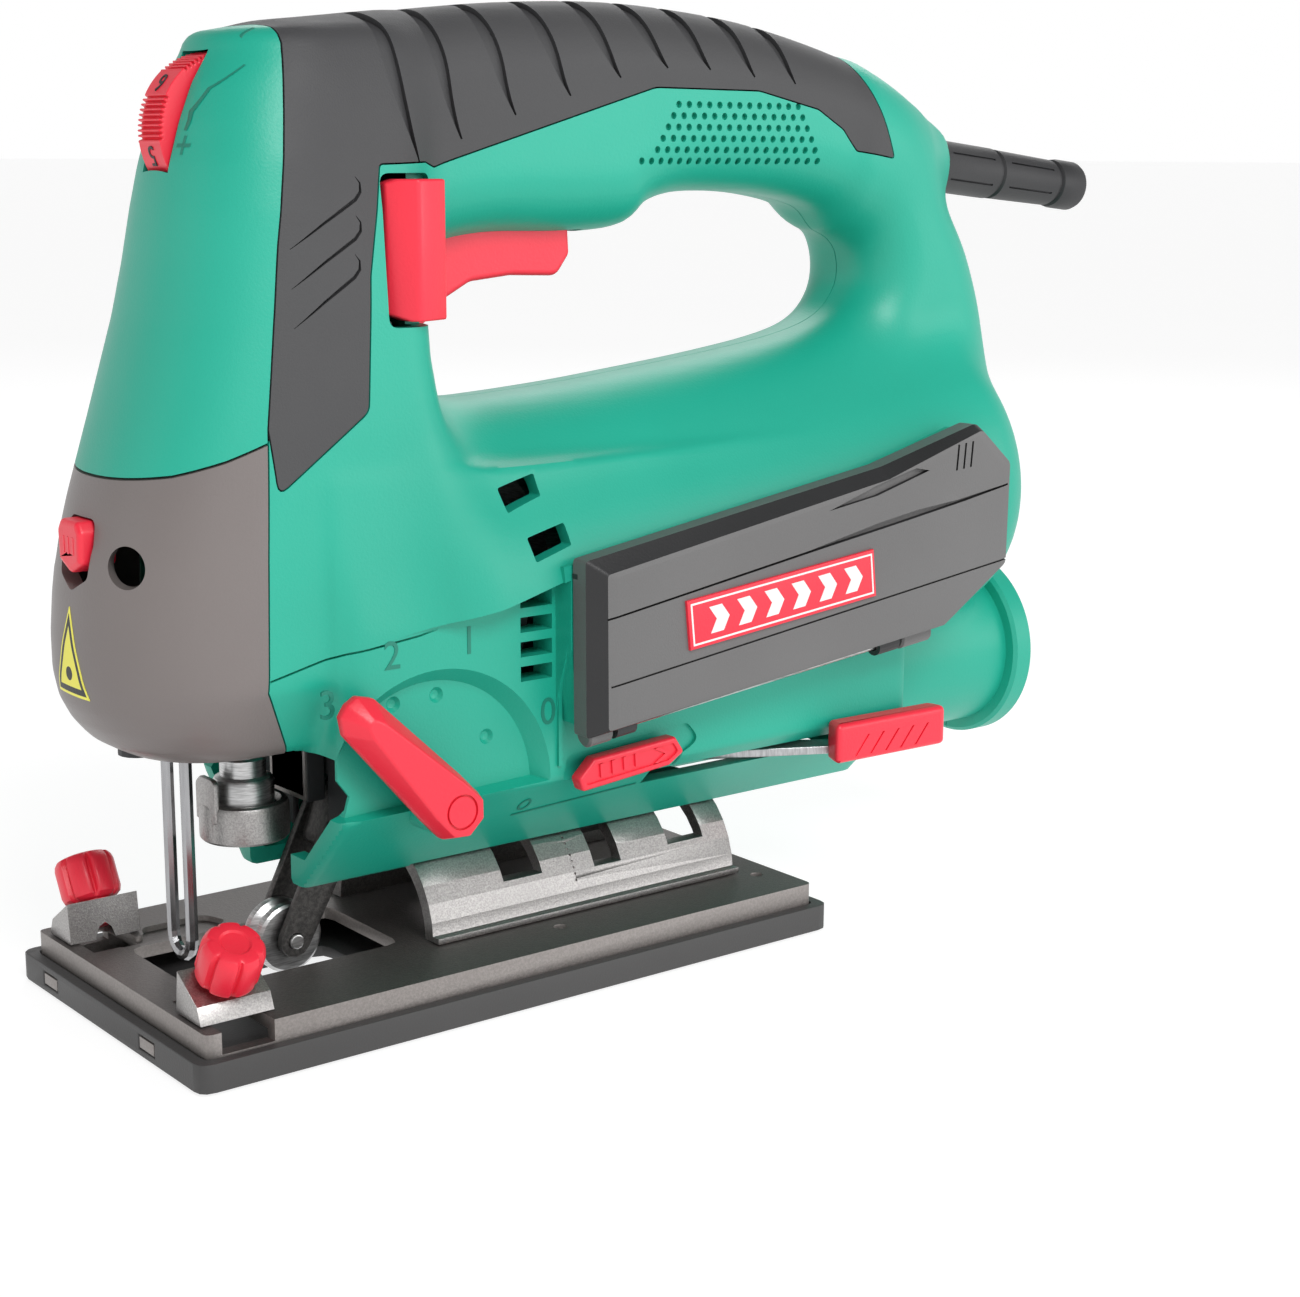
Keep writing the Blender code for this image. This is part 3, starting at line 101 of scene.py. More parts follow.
def lamp(name, place, target, size, power):
    light = bpy.data.lights.new(name, "AREA")
    light.shape = "RECTANGLE"
    light.size, light.size_y = size
    light.energy = power
    thing = bpy.data.objects.new(name, light)
    place = Vector(place)
    thing.matrix_world = Matrix.Translation(place) @ turned_to(Vector(target) - place)
    bpy.context.collection.objects.link(thing)


MIDDLE = (0.03, 0.0, 0.10)
lamp("key", (-0.15, -0.95, 0.95), MIDDLE, (0.5, 0.5), 10.0)
lamp("fill", (-1.1, 0.25, 0.55), MIDDLE, (0.6, 0.9), 0.6)
lamp("rim", (0.75, 0.75, 0.8), MIDDLE, (0.9, 0.5), 4.0)
lamp("side", (0.75, -1.0, 0.35), MIDDLE, (0.8, 0.5), 3.0)
print("camera at", tuple(round(c, 3) for c in camera.location), "with 4 lamps")

# %% [markdown]
# A finish is a network of shader nodes. Writing it as sums and products is far
# easier to read than wiring each Math node by hand, so a small class wraps a
# socket, and Python's operators add the nodes.

# %% Shader sums
class Socket:
    """One output of a shader network; arithmetic on it adds Math nodes."""

    def __init__(self, network, link):
        self.network = network
        self.link = link

    def math(self, operation, *others):
        return self.network.node("ShaderNodeMath", {"operation": operation}, [self, *others])

    def __add__(self, other):
        return self.math("ADD", other)

    def __sub__(self, other):
        return self.math("SUBTRACT", other)

    def __rsub__(self, other):
        return self.network.node("ShaderNodeMath", {"operation": "SUBTRACT"}, [other, self])

    def __mul__(self, other):
        return self.math("MULTIPLY", other)

    __radd__ = __add__
    __rmul__ = __mul__


class Network:
    """A material's nodes, with one method that makes any of them."""

    def __init__(self, name):
        self.material = bpy.data.materials.new(name)
        self.material.use_nodes = True
        self.tree = self.material.node_tree
        self.shader = self.tree.nodes["Principled BSDF"]

    def plug(self, target, value):
        if isinstance(value, Socket):
            self.tree.links.new(value.link, target)
        elif isinstance(value, (tuple, list)) and len(value) == 3 and target.type == "RGBA":
            target.default_value = (*value, 1.0)
        else:
            target.default_value = value

    def node(self, kind, settings=None, inputs=(), output=0):
        made = self.tree.nodes.new(kind)
        for key, value in (settings or {}).items():
            if key == "stops":
                made.color_ramp.elements[0].position = value[0][0]
                made.color_ramp.elements[-1].position = value[-1][0]
                for place, _ in value[1:-1]:
                    made.color_ramp.elements.new(place)
                for element, (_, tone) in zip(made.color_ramp.elements, value):
                    element.color = (tone, tone, tone, 1.0)
            else:
                setattr(made, key, value)
        pairs = inputs.items() if isinstance(inputs, dict) else enumerate(inputs)
        for key, value in pairs:
            self.plug(made.inputs[key], value)
        return Socket(self, made.outputs[output])

    def place(self, stretch=(1.0, 1.0, 1.0)):
        """Object coordinates in metres, stretched along each axis."""
        spot = self.node("ShaderNodeTexCoord", output="Object")
        if stretch == (1.0, 1.0, 1.0):
            return spot
        return self.node("ShaderNodeMapping", {}, {"Vector": spot, "Scale": stretch})

    def noise(self, scale, detail=2.0, stretch=(1.0, 1.0, 1.0), roughness=0.5):
        return self.node("ShaderNodeTexNoise", {}, {"Vector": self.place(stretch), "Scale": scale,
                                                    "Detail": detail, "Roughness": roughness})

    def blend(self, share, first, second):
        return self.node("ShaderNodeMix", {"data_type": "RGBA"}, {0: share, 6: first, 7: second},
                         output=2)

    def soften(self, value, low, high):
        return self.node("ShaderNodeMapRange", {"interpolation_type": "SMOOTHSTEP"},
                         {0: value, 1: low, 2: high})

    def bump(self, height, depth):
        return self.node("ShaderNodeBump", {}, {"Height": height, "Distance": depth})

    def set(self, **sockets):
        for name, value in sockets.items():
            self.plug(self.shader.inputs[name.replace("_", " ")], value)
        return self.material


print("shader helpers ready")

# %% [markdown]
# The shell is moulded plastic with a metallic green pigment. Real mouldings are
# never one flat tone: the pigment drifts a little, the surface carries a fine
# spark-eroded grain and handling leaves faint shinier patches. Three noises at
# three scales give those.

# %% Plastics and rubber
def moulded(name, light, dark, roughness, grain=1800.0, depth=0.00004, spread=0.10, coat=0.0):
    net = Network(name)
    drift = net.noise(14.0, 3.0)
    handling = net.noise(38.0, 4.0, roughness=0.6)
    texture = net.noise(grain, 2.0)
    tone = net.blend(net.soften(drift, 0.3, 0.7), dark, light)
    tone = net.blend(net.soften(texture, 0.35, 0.75) * 0.12, tone, light)
    gloss = roughness - spread / 2 + spread * handling + 0.05 * texture
    return net.set(Base_Color=tone, Roughness=gloss, Normal=net.bump(texture, depth),
                   Coat_Weight=coat, Coat_Roughness=0.25)


GREEN = moulded("shell_green", (0.010, 0.385, 0.270), (0.008, 0.345, 0.240), 0.40)
NOSE_GREY = moulded("nose_metallic", (0.175, 0.152, 0.146), (0.150, 0.130, 0.126), 0.40, coat=0.15)
GRIP = moulded("grip_rubber", (0.052, 0.052, 0.054), (0.042, 0.042, 0.045), 0.56, 2600.0, 0.00006)
LID_GREY = moulded("lid_plastic", (0.135, 0.133, 0.133), (0.118, 0.116, 0.116), 0.46, 2200.0, 0.00006)
RED = moulded("control_red", (0.86, 0.022, 0.050), (0.78, 0.017, 0.042), 0.36, coat=0.1)
BLACK = moulded("inner_black", (0.028, 0.028, 0.030), (0.020, 0.020, 0.022), 0.5)
SOLE = moulded("sole_plastic", (0.052, 0.051, 0.051), (0.043, 0.042, 0.042), 0.5, 2200.0, 0.00006)
print("7 moulded finishes")

# %% [markdown]
# The metals differ mostly by how they were made. Cast and blasted parts get a
# sharp sparkle of tiny pits, turned steel gets fine rings along its length, and
# the wire guard is plated, so it is nearly a mirror.

# %% Metals
def blasted(name, light, dark, roughness, scale=1500.0, depth=0.00012, metallic=1.0):
    net = Network(name)
    pits = net.noise(scale, 3.0, roughness=0.7)
    stain = net.noise(55.0, 4.0)
    tone = net.blend(net.soften(pits, 0.35, 0.68), dark, light)
    tone = net.blend(net.soften(stain, 0.45, 0.75) * 0.35, tone, dark)
    return net.set(Base_Color=tone, Roughness=roughness - 0.08 + 0.16 * pits, Metallic=metallic,
                   Normal=net.bump(pits, depth))


def machined(name, light, dark, roughness, stretch, depth=0.00002):
    net = Network(name)
    lines = net.noise(60.0, 3.0, stretch)
    wear = net.noise(90.0, 3.0)
    tone = net.blend(net.soften(lines, 0.3, 0.7), dark, light)
    return net.set(Base_Color=tone, Roughness=roughness + 0.14 * lines + 0.1 * wear, Metallic=1.0,
                   Normal=net.bump(lines, depth))


CAST = blasted("cast_alloy", (0.46, 0.445, 0.435), (0.30, 0.29, 0.285), 0.36, 2600.0, 0.00006)
PLATE = blasted("plate_alloy", (0.125, 0.110, 0.105), (0.085, 0.075, 0.071), 0.46, 1900.0, 0.00008, 0.55)
PLATE_EDGE = blasted("plate_edge", (0.30, 0.275, 0.262), (0.24, 0.22, 0.21), 0.42, 1900.0, 0.00006, 0.6)
STEEL = machined("steel_turned", (0.66, 0.66, 0.66), (0.42, 0.42, 0.42), 0.22, (6.0, 6.0, 60.0))
STEEL_FLAT = machined("steel_pressed", (0.55, 0.55, 0.56), (0.38, 0.38, 0.39), 0.28, (50.0, 3.0, 6.0))
CHROME = machined("chrome_plate", (0.40, 0.40, 0.41), (0.33, 0.33, 0.34), 0.08, (20.0, 20.0, 2.0), 0.000005)
COPPER = machined("wound_copper", (0.72, 0.34, 0.18), (0.45, 0.20, 0.10), 0.30, (3.0, 40.0, 40.0), 0.00005)
print("7 metals")

# %% [markdown]
# A mesh can be described by its surface points, or by a field: a number at every
# place that is negative inside the material and positive outside. A moulded
# housing, where a barrel, a head and a handle flow into each other, is far
# easier as a field, because a smooth minimum of two fields is a fillet. The
# field is sampled on a grid of 1.3 mm cells.

# %% The grid
CELL = 1.3
LOW = np.array([-86.0, -42.0, 18.0])
HIGH = np.array([164.0, 42.0, 203.0])
COUNT = np.ceil((HIGH - LOW) / CELL).astype(int) + 1
XS, YS, ZS = (LOW[k] + CELL * np.arange(COUNT[k]) for k in range(3))
X, Y, Z = (part.astype(np.float32) for part in np.meshgrid(XS, YS, ZS, indexing="ij"))
ASIDE = np.abs(Y)
print("grid", COUNT, "of", X.size, "samples")


# %% Smooth curves and distances in a plane
def curved(points, steps=6):
    """A closed smooth curve through the points."""
    out = []
    total = len(points)
    for i in range(total):
        a, b, c, d = (np.array(points[(i + k) % total], float) for k in (-1, 0, 1, 2))
        for s in range(steps):
            t = s / steps
            out.append(0.5 * (2 * b + (c - a) * t + (2 * a - 5 * b + 4 * c - d) * t * t
                              + (3 * b - a - 3 * c + d) * t ** 3))
    return np.array(out)


def flat_distance(u, v, outline):
    """Signed distance in a plane from grids u, v to a closed outline."""
    nearest = np.full(u.shape, 1e9)
    inside = np.zeros(u.shape, bool)
    for a, b in zip(outline, np.roll(outline, -1, axis=0)):
        edge = b - a
        share = np.clip(((u - a[0]) * edge[0] + (v - a[1]) * edge[1]) / max(edge @ edge, 1e-9), 0, 1)
        nearest = np.minimum(nearest, (u - a[0] - share * edge[0]) ** 2 + (v - a[1] - share * edge[1]) ** 2)
        crosses = (a[1] > v) != (b[1] > v)
        with np.errstate(divide="ignore", invalid="ignore"):
            at = a[0] + (v - a[1]) * edge[0] / edge[1]
        inside ^= crosses & (u < at)
    return np.where(inside, -1.0, 1.0) * np.sqrt(nearest)


def meet(first, second, radius):
    """What lies in both fields, with an edge rounded to a radius."""
    a = first + radius
    b = second + radius
    return np.hypot(np.maximum(a, 0), np.maximum(b, 0)) + np.minimum(np.maximum(a, b), 0) - radius


def fuse(first, second, radius):
    """What lies in either field, with a fillet about as big as the radius."""
    near = np.maximum(radius - np.abs(first - second), 0) / radius
    return np.minimum(first, second) - near * near * radius * 0.25


print("field helpers ready")

# %% [markdown]
# The body is six fields. The head is a tower whose plan is a half round nose with
# straight sides, and its width and set-back change with height. The barrel is a
# tilted round cylinder, the D-handle a plump slab with a finger hole, the keel a
# trough-shaped block over the shoe, and the dust port and the cord boss are
# turned shapes.

# %% Head field
def levelled(pairs):
    heights, values = zip(*pairs)
    return np.interp(ZS, heights, values).astype(np.float32)[None, None, :]


HEAD_FRONT = levelled([(18, -71.0), (56, -71.5), (58.5, -75.4), (62, -78.3), (66, -80.2), (71, -81.0),
                       (78, -81.0), (86, -80.3), (95, -78.9), (104, -76.4), (112, -73.8),
                       (120, -71.2), (129, -68.4), (138, -65.6), (148, -63.2), (158, -61.2),
                       (166, -59.4), (174, -57.0), (181, -54.2), (187, -50.5), (203, -46.0)])
HEAD_HALF = levelled([(18, 18.5), (54, 19.6), (69.6, 27.8), (72, 28.2), (95, 28.3), (118, 27.9),
                      (140, 26.9), (158, 25.4), (168, 23.6), (176, 21.3), (183, 18.8), (189, 16.6),
                      (203, 13.0)])
HEAD_REAR = levelled([(18, -8.0), (90, -8.0), (115, -11.0), (130, -13.5), (155, -14.5), (175, -13.0),
                      (203, -12.0)])
mid = HEAD_FRONT + HEAD_HALF * 0.96
nose_depth = mid - HEAD_FRONT
u = (X - mid) / nose_depth
w = Y / HEAD_HALF
# the plan's exponent is a little over 2, which gives the nose its soft corners
plan = (np.abs(np.minimum(u, 0)) ** 2.25 + np.abs(w) ** 2.25) ** (1 / 2.25)
front_part = (plan - 1) * np.minimum(nose_depth, HEAD_HALF)
corner = 8.0
square = meet(X - HEAD_REAR, ASIDE - HEAD_HALF, corner)
HEAD = np.where(X < mid, front_part, square)
HEAD = meet(HEAD, np.maximum(Z - 190.5, 55.2 - Z), 2.6)
print("head field", float(HEAD.min()))

# %% Handle field
HANDLE_EDGE = [(-36, 96), (40, 90), (120, 90), (146, 96), (151.5, 110), (151.8, 122), (149.5, 134),
               (144.5, 147), (138.5, 157), (132, 168), (123.5, 180), (110, 188.0), (92, 193.2), (70.8, 197),
               (43.7, 199), (18.4, 198.3), (-5.4, 196.0), (-28, 192.4), (-38, 189.4), (-43.5, 180),
               (-43, 140)]
FINGER_GAP = [(-13.5, 127), (-9, 120.5), (4, 117.8), (30, 118.3), (49, 120), (72, 122.8), (92, 126.5),
              (104.5, 131.2), (111.5, 138.5), (111.8, 146), (107, 152.5), (97.5, 157.2), (84, 159.8),
              (70, 160.6), (58, 160.3), (49.5, 158.0), (43, 153.6), (28, 152.4), (8, 152.4),
              (-5, 150), (-12.5, 145), (-15, 137)]
HALF_WIDTH = 17.5
FLAT_X, FLAT_Z = np.meshgrid(XS, ZS, indexing="ij")
outer_edge = flat_distance(FLAT_X, FLAT_Z, curved(HANDLE_EDGE))
gap_edge = flat_distance(FLAT_X, FLAT_Z, curved(FINGER_GAP))
slab = np.maximum(outer_edge, -gap_edge)[:, None, :].astype(np.float32)
HANDLE = meet(slab, ASIDE - HALF_WIDTH, 13.5)
print("handle field", float(HANDLE.min()))

# %% Barrel, keel, dust port and cord boss fields
TILT = math.radians(6.0)
BOOT_TILT = math.radians(-6.1)
BOOT = Vector((140.0, 0, 166.3))
BOOT_WAY = Vector((math.cos(BOOT_TILT), 0, math.sin(BOOT_TILT)))
PORT_Z = 48.7


def round_field(centre, tilt, radius, start, end, corner):
    """A turned solid whose axis leans in the XZ plane; radius may be an array function."""
    along = (X - centre[0]) * math.cos(tilt) + (Z - centre[1]) * math.sin(tilt)
    above = (Z - centre[1]) * math.cos(tilt) - (X - centre[0]) * math.sin(tilt)
    out = np.hypot(Y, above)
    size = radius(along) if callable(radius) else radius
    return meet(out - size, np.maximum(start - along, along - end), corner)


BARREL = round_field((49.0, 84.5), TILT, 36.0, -66.0, 98.0, 13.0)
PORT = round_field((0.0, PORT_Z), 0.0, lambda s: 19.5 - 0.5 * np.clip((140 - s) / 40, 0, 1), 90.0, 159.4, 1.0)
BOSS = round_field((140.0, 166.3), BOOT_TILT,
                   lambda s: np.interp(s, [-34, -12, -3, 0], [17.0, 13.2, 9.9, 8.6]), -34.0, 0.6, 1.5)
KEEL_FORM = np.array([(-31.0, 43.6), (-12.5, 24.9), (12.5, 24.9), (31.0, 43.6), (31.0, 79.0), (27.2, 108.0),
                      (-27.2, 108.0), (-31.0, 79.0)])
FLAT_Y, FLAT_Z2 = np.meshgrid(YS, ZS, indexing="ij")
keel_flat = flat_distance(FLAT_Y, FLAT_Z2, KEEL_FORM)[None, :, :].astype(np.float32)
prow = np.maximum(-40.0 - X, 0.45 * (-36.0 - X) + 0.89 * (ASIDE - 31.0))
KEEL = meet(keel_flat, np.maximum(prow, X - 108.0), 1.0)
BODY = fuse(HEAD, BARREL, 16.0)
BODY = fuse(BODY, HANDLE, 9.0)
BODY = fuse(BODY, KEEL, 3.0)
BODY = fuse(BODY, PORT, 7.0)
BODY = fuse(BODY, BOSS, 8.0)
print("body field", BODY.shape, float(BODY.min()))

# %% [markdown]
# The surface is where the field crosses a level. Surface nets put one point in
# each cell that the level passes through, and one face across each grid edge
# that it cuts. The points are then slid along the field's slope until they sit
# exactly on the level, which takes out the grid's facets. The same field at
# deeper levels gives the inside of the wall and the floors of grooves.

# %% Surface nets
def skin_points(field, level):
    """Points and quads where the field crosses the level, in millimetres."""
    value = field - level
    inside = value < 0
    shape = np.array(field.shape)
    total = np.zeros((*(shape - 1), 3), np.float32)
    hits = np.zeros(shape - 1, np.float32)
    edges = []
    for axis in range(3):
        low = [slice(None)] * 3
        high = [slice(None)] * 3
        low[axis] = slice(None, -1)
        high[axis] = slice(1, None)
        crossing = inside[tuple(low)] != inside[tuple(high)]
        where = np.argwhere(crossing)
        a = value[tuple(low)][crossing]
        b = value[tuple(high)][crossing]
        spot = where.astype(np.float32)
        spot[:, axis] += a / (a - b)
        first, second = (axis + 1) % 3, (axis + 2) % 3
        for i in (0, 1):
            for j in (0, 1):
                cell = where.copy()
                cell[:, first] -= i
                cell[:, second] -= j
                fits = np.all((cell >= 0) & (cell < shape - 1), axis=1)
                at = tuple(cell[fits].T)
                np.add.at(total, at, spot[fits])
                np.add.at(hits, at, 1)
        edges.append((where, first, second, a < 0))
    used = hits > 0
    number = np.full(shape - 1, -1, np.int64)
    number[used] = np.arange(used.sum())
    points = LOW + CELL * (total[used] / hits[used][:, None])
    quads = []
    for where, first, second, rising in edges:
        corners = []
        for i, j in ((1, 1), (0, 1), (0, 0), (1, 0)):
            cell = where.copy()
            cell[:, first] -= i
            cell[:, second] -= j
            corners.append(number[tuple(cell.T)])
        quad = np.stack(corners, axis=1)
        quad[~rising] = quad[~rising][:, ::-1]
        quads.append(quad)
    return points, np.concatenate(quads)


def sample(field, points):
    """The field's value at points, blended from the eight samples round each."""
    place = (points - LOW) / CELL
    base = np.clip(np.floor(place).astype(int), 0, np.array(field.shape) - 2)
    part = place - base
    value = np.zeros(len(points))
    for corner_x in (0, 1):
        for corner_y in (0, 1):
            for corner_z in (0, 1):
                share = (np.where(corner_x, part[:, 0], 1 - part[:, 0])
                         * np.where(corner_y, part[:, 1], 1 - part[:, 1])
                         * np.where(corner_z, part[:, 2], 1 - part[:, 2]))
                value += share * field[base[:, 0] + corner_x, base[:, 1] + corner_y, base[:, 2] + corner_z]
    return value


def mesh_from(name, points, faces):
    mesh = bpy.data.meshes.new(name)
    mesh.from_pydata((np.asarray(points) * MM).tolist(), [], [list(map(int, face)) for face in faces])
    mesh.update()
    thing = bpy.data.objects.new(name, mesh)
    bpy.context.collection.objects.link(thing)
    return thing


def skin(name, field, level):
    """A closed mesh of a field at one of its levels."""
    slope = np.gradient(field, CELL)
    points, quads = skin_points(field, level)
    for _ in range(3):
        push = np.stack([sample(part, points) for part in slope], axis=1)
        size = np.maximum((push ** 2).sum(axis=1), 0.2)
        step = (sample(field, points) - level) / size
        points = points - np.clip(step, -0.6, 0.6)[:, None] * push
    return mesh_from(name, points, quads)


PANEL = [(-56, 71.9), (-46, 43.2), (9.2, 45.2), (9.2, 85.4), (-6.6, 81.6), (-24, 78.4), (-40, 75.2)]
# the wall's inside steps in behind the flat panel, so the panel doesn't cut through it
behind = flat_distance(FLAT_X, FLAT_Z, np.array(PANEL, float))[:, None, :] - 4.0
HOLLOW = np.maximum(BODY + 3.2, -np.maximum(behind, 24.4 - ASIDE)).astype(np.float32)
OUTER = skin("body_outer", BODY, 0.0)
INNER = skin("body_inner", HOLLOW, 0.0)
FLOOR = skin("body_groove_floor", BODY, -1.1)
LABEL_TOP = skin("label_top", BODY, 0.14)
LABEL_FOOT = skin("label_foot", BODY, -0.5)
print("outer skin", len(OUTER.data.polygons), "quads")

# %% [markdown]
# The covers and housing halves are all cut from the same skin, so they meet in
# one flowing surface and only a thin seam shows. Each cutter is a plain solid
# swept from an outline, and the cuts are live Boolean modifiers that are baked
# into the mesh at once.

# %% Plain solids for cutting and building
def solid(name, points, faces):
    thing = mesh_from(name, points, faces)
    work = bmesh.new()
    work.from_mesh(thing.data)
    bmesh.ops.recalc_face_normals(work, faces=work.faces)
    work.to_mesh(thing.data)
    work.free()
    return thing


def loft(name, rings, closed=False):
    """Skin rings of equal length; the ends are capped unless it closes on itself."""
    count = len(rings[0])
    points = [point for ring in rings for point in ring]
    faces = []
    for span in range(len(rings) if closed else len(rings) - 1):
        low = span * count
        high = ((span + 1) % len(rings)) * count
        for step in range(count):
            after = (step + 1) % count
            faces.append((low + step, low + after, high + after, high + step))
    if not closed:
        faces.append(tuple(range(count)))
        faces.append(tuple(range(len(points) - count, len(points))))
    return solid(name, points, faces)


def placed(outline, across, level):
    if across == "X":
        return [(level, u, v) for u, v in outline]
    if across == "Y":
        return [(u, level, v) for u, v in outline]
    return [(u, v, level) for u, v in outline]


def prism(name, outline, across, low, high):
    return loft(name, [placed(outline, across, low), placed(outline, across, high)])


def block(name, low, high):
    corners = [(low[0], low[1]), (high[0], low[1]), (high[0], high[1]), (low[0], high[1])]
    return prism(name, corners, "Z", low[2], high[2])


AHEAD, ACROSS, UPRIGHT = (1, 0, 0), (0, 1, 0), (0, 0, 1)


def turned(name, profile, origin, direction, sides=48, closed=False):
    """Turn (radius, distance along) points about a line through origin."""
    along = Vector(direction).normalized()
    side = along.orthogonal().normalized()
    other = along.cross(side)
    rings = []
    for radius, distance in profile:
        centre = Vector(origin) + along * distance
        rings.append([centre + radius * (math.cos(a) * side + math.sin(a) * other)
                      for a in (2 * math.pi * (step + 0.5) / sides for step in range(sides))])
    return loft(name, rings, closed)


def rod(name, origin, direction, radius, start, end, sides=48):
    return turned(name, [(radius, start), (radius, end)], origin, direction, sides)


def rounded(corners, steps=5):
    """An outline of (u, v, radius) corners with each corner an arc."""
    outline = []
    for index, (u, v, radius) in enumerate(corners):
        here = Vector((u, v))
        before = Vector(corners[index - 1][:2]) - here
        after = Vector(corners[(index + 1) % len(corners)][:2]) - here
        reach = radius / math.tan(before.angle(after) / 2)
        start = here + before.normalized() * reach
        end = here + after.normalized() * reach
        for step in range(steps + 1):
            t = step / steps
            outline.append(tuple((1 - t) ** 2 * start + 2 * t * (1 - t) * here + t * t * end))
    return outline


def capsule(start, end, first, second, steps=10):
    start, end = Vector(start), Vector(end)
    heading = math.atan2(end.y - start.y, end.x - start.x)
    outline = []
    for centre, radius, turn in ((end, second, -math.pi / 2), (start, first, math.pi / 2)):
        for step in range(steps + 1):
            angle = heading + turn + math.pi * step / steps
            outline.append((centre.x + radius * math.cos(angle), centre.y + radius * math.sin(angle)))
    return outline


def grown(outline, distance):
    """Move a counter-clockwise outline outwards by mitred corners."""
    moved = []
    for index in range(len(outline)):
        here = Vector(outline[index])
        first = (here - Vector(outline[index - 1])).normalized()
        second = (Vector(outline[(index + 1) % len(outline)]) - here).normalized()
        a, b = Vector((first.y, -first.x)), Vector((second.y, -second.x))
        moved.append(tuple(here + (a + b) / (1 + a.dot(b)) * distance))
    return moved


def mirrored(half, *tip):
    """Half an outline, its tip if it has one, and the half again with v reversed."""
    return [*half, *tip, *((u, -v) for u, v in reversed(half))]


def twin(thing, name):
    copy = bpy.data.objects.new(name, thing.data.copy())
    bpy.context.collection.objects.link(copy)
    return copy


def bake(thing):
    """Turn the live modifiers into plain mesh."""
    graph = bpy.context.evaluated_depsgraph_get()
    mesh = bpy.data.meshes.new_from_object(thing.evaluated_get(graph))
    thing.modifiers.clear()
    thing.data = mesh
    mesh.name = thing.name
    return thing


def drop(*things):
    for thing in things:
        bpy.data.objects.remove(thing, do_unlink=True)


def combine(thing, operation, others, keep_others=False):
    for other in others:
        change = thing.modifiers.new(operation.title(), "BOOLEAN")
        change.operation = operation
        change.solver = "MANIFOLD"
        change.object = other
    bake(thing)
    if not keep_others:
        drop(*others)
    return thing


def cut(thing, *others, keep_others=False):
    return combine(thing, "DIFFERENCE", others, keep_others)


def join(thing, *others):
    return combine(thing, "UNION", others)


def within(thing, *others, keep_others=False):
    return combine(thing, "INTERSECT", others, keep_others)


def rim(thing, width, segments=2, angle=40):
    """A small rounded edge, as every moulded or machined part has."""
    change = thing.modifiers.new("Bevel", "BEVEL")
    change.width = width * MM
    change.segments = segments
    change.limit_method = "ANGLE"
    change.angle_limit = math.radians(angle)
    change.harden_normals = False
    return bake(thing)


def dress(thing, finish, body, slot, *nodes, angle=32):
    """Give a finished piece its finish, its body and the CAD nodes it stands for."""
    work = bmesh.new()
    work.from_mesh(thing.data)
    bmesh.ops.remove_doubles(work, verts=work.verts, dist=0.000002)
    bmesh.ops.dissolve_degenerate(work, edges=work.edges, dist=0.000002)
    work.to_mesh(thing.data)
    work.free()
    thing.data.shade_smooth()
    thing.data.set_sharp_from_angle(angle=math.radians(angle))
    for face in thing.data.polygons:
        # a wide flat face stays flat, whatever its rounded rim does
        if len(face.vertices) > 8:
            face.use_smooth = False
    thing.data.materials.clear()
    thing.data.materials.append(finish)
    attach(thing, body)
    if nodes:
        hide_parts(*nodes)
    print(thing.name, "has", len(thing.data.polygons), "faces")
    return thing


# %% [markdown]
# Two outlines in side view set all the seams: the line between the housing and
# the front covers, and the edge of the soft overmould, which runs along the
# handle's top and down the rear of the head. A groove of a third of a millimetre
# between neighbours reads as a real moulded joint.

# %% Seams
SEAM = 0.16
FRONT_SEAM = [(-130, 30), (-45.8, 30), (-45.8, 54.5), (-54.3, 70), (-53.6, 95), (-52.3, 119),
              (-47.6, 152), (-41.2, 188), (-40.4, 225), (-130, 225)]
GRIP_EDGE = rounded([(-41.2, 225, 0.4), (-41.2, 188, 0.4), (-47.6, 152, 0.4), (-52.3, 119, 0.4),
                     (-51.0, 106.8, 1.4), (-31.2, 121.0, 3.0), (-29.4, 146, 2.0), (-25.6, 166.4, 1.0),
                     (-13.2, 166.8, 1.0), (-10.0, 165.8, 1.0), (45, 181.8, 8.0), (73, 181.6, 9.0),
                     (90, 178.0, 3.0), (97.5, 173.8, 3.5), (101.4, 169.2, 1.0), (112, 167.6, 0.6),
                     (104.0, 189, 0.4), (98.0, 225, 0.4)], 4)
NOSE_LINE = [(-130, 108.4), (-84, 108.4), (-76, 109.0), (-68, 110.6), (-60, 113.2), (-50, 117.2), (0, 140)]


def through(name, outline, reach=70.0):
    return prism(name, outline, "Y", -reach, reach)


front_region = through("front_region", grown(FRONT_SEAM, -SEAM))
front_gap = through("front_gap", grown(FRONT_SEAM, SEAM))
grip_region = through("grip_region", grown(GRIP_EDGE, -SEAM))
grip_gap = through("grip_gap", grown(GRIP_EDGE, SEAM))
lower = through("below_nose_line", NOSE_LINE + [(0, 0), (-130, 0)])
upper = through("above_nose_line", [(u, v + 0.5) for u, v in NOSE_LINE] + [(0, 240), (-130, 240)])
print("seam solids made")

# %% [markdown]
# The front cap is green and carries the speed dial in a slot through its crown.
# The nose below it is a metallic grey cover with a pocket for the laser button,
# a deep screw hole on its side and holes under it for the plunger and the guard.

# %% Front cap and nose cover
PLUNGER = (-45.5, 0, 0)
DIAL = (-45.5, 0.0, 172.0)
dial_slot = rod("dial_slot", DIAL, ACROSS, 15.7, -5.1, 5.1, 64)
cap = within(twin(OUTER, "cap_shell"), front_region, upper, keep_others=True)
cut(cap, INNER, dial_slot, keep_others=True)

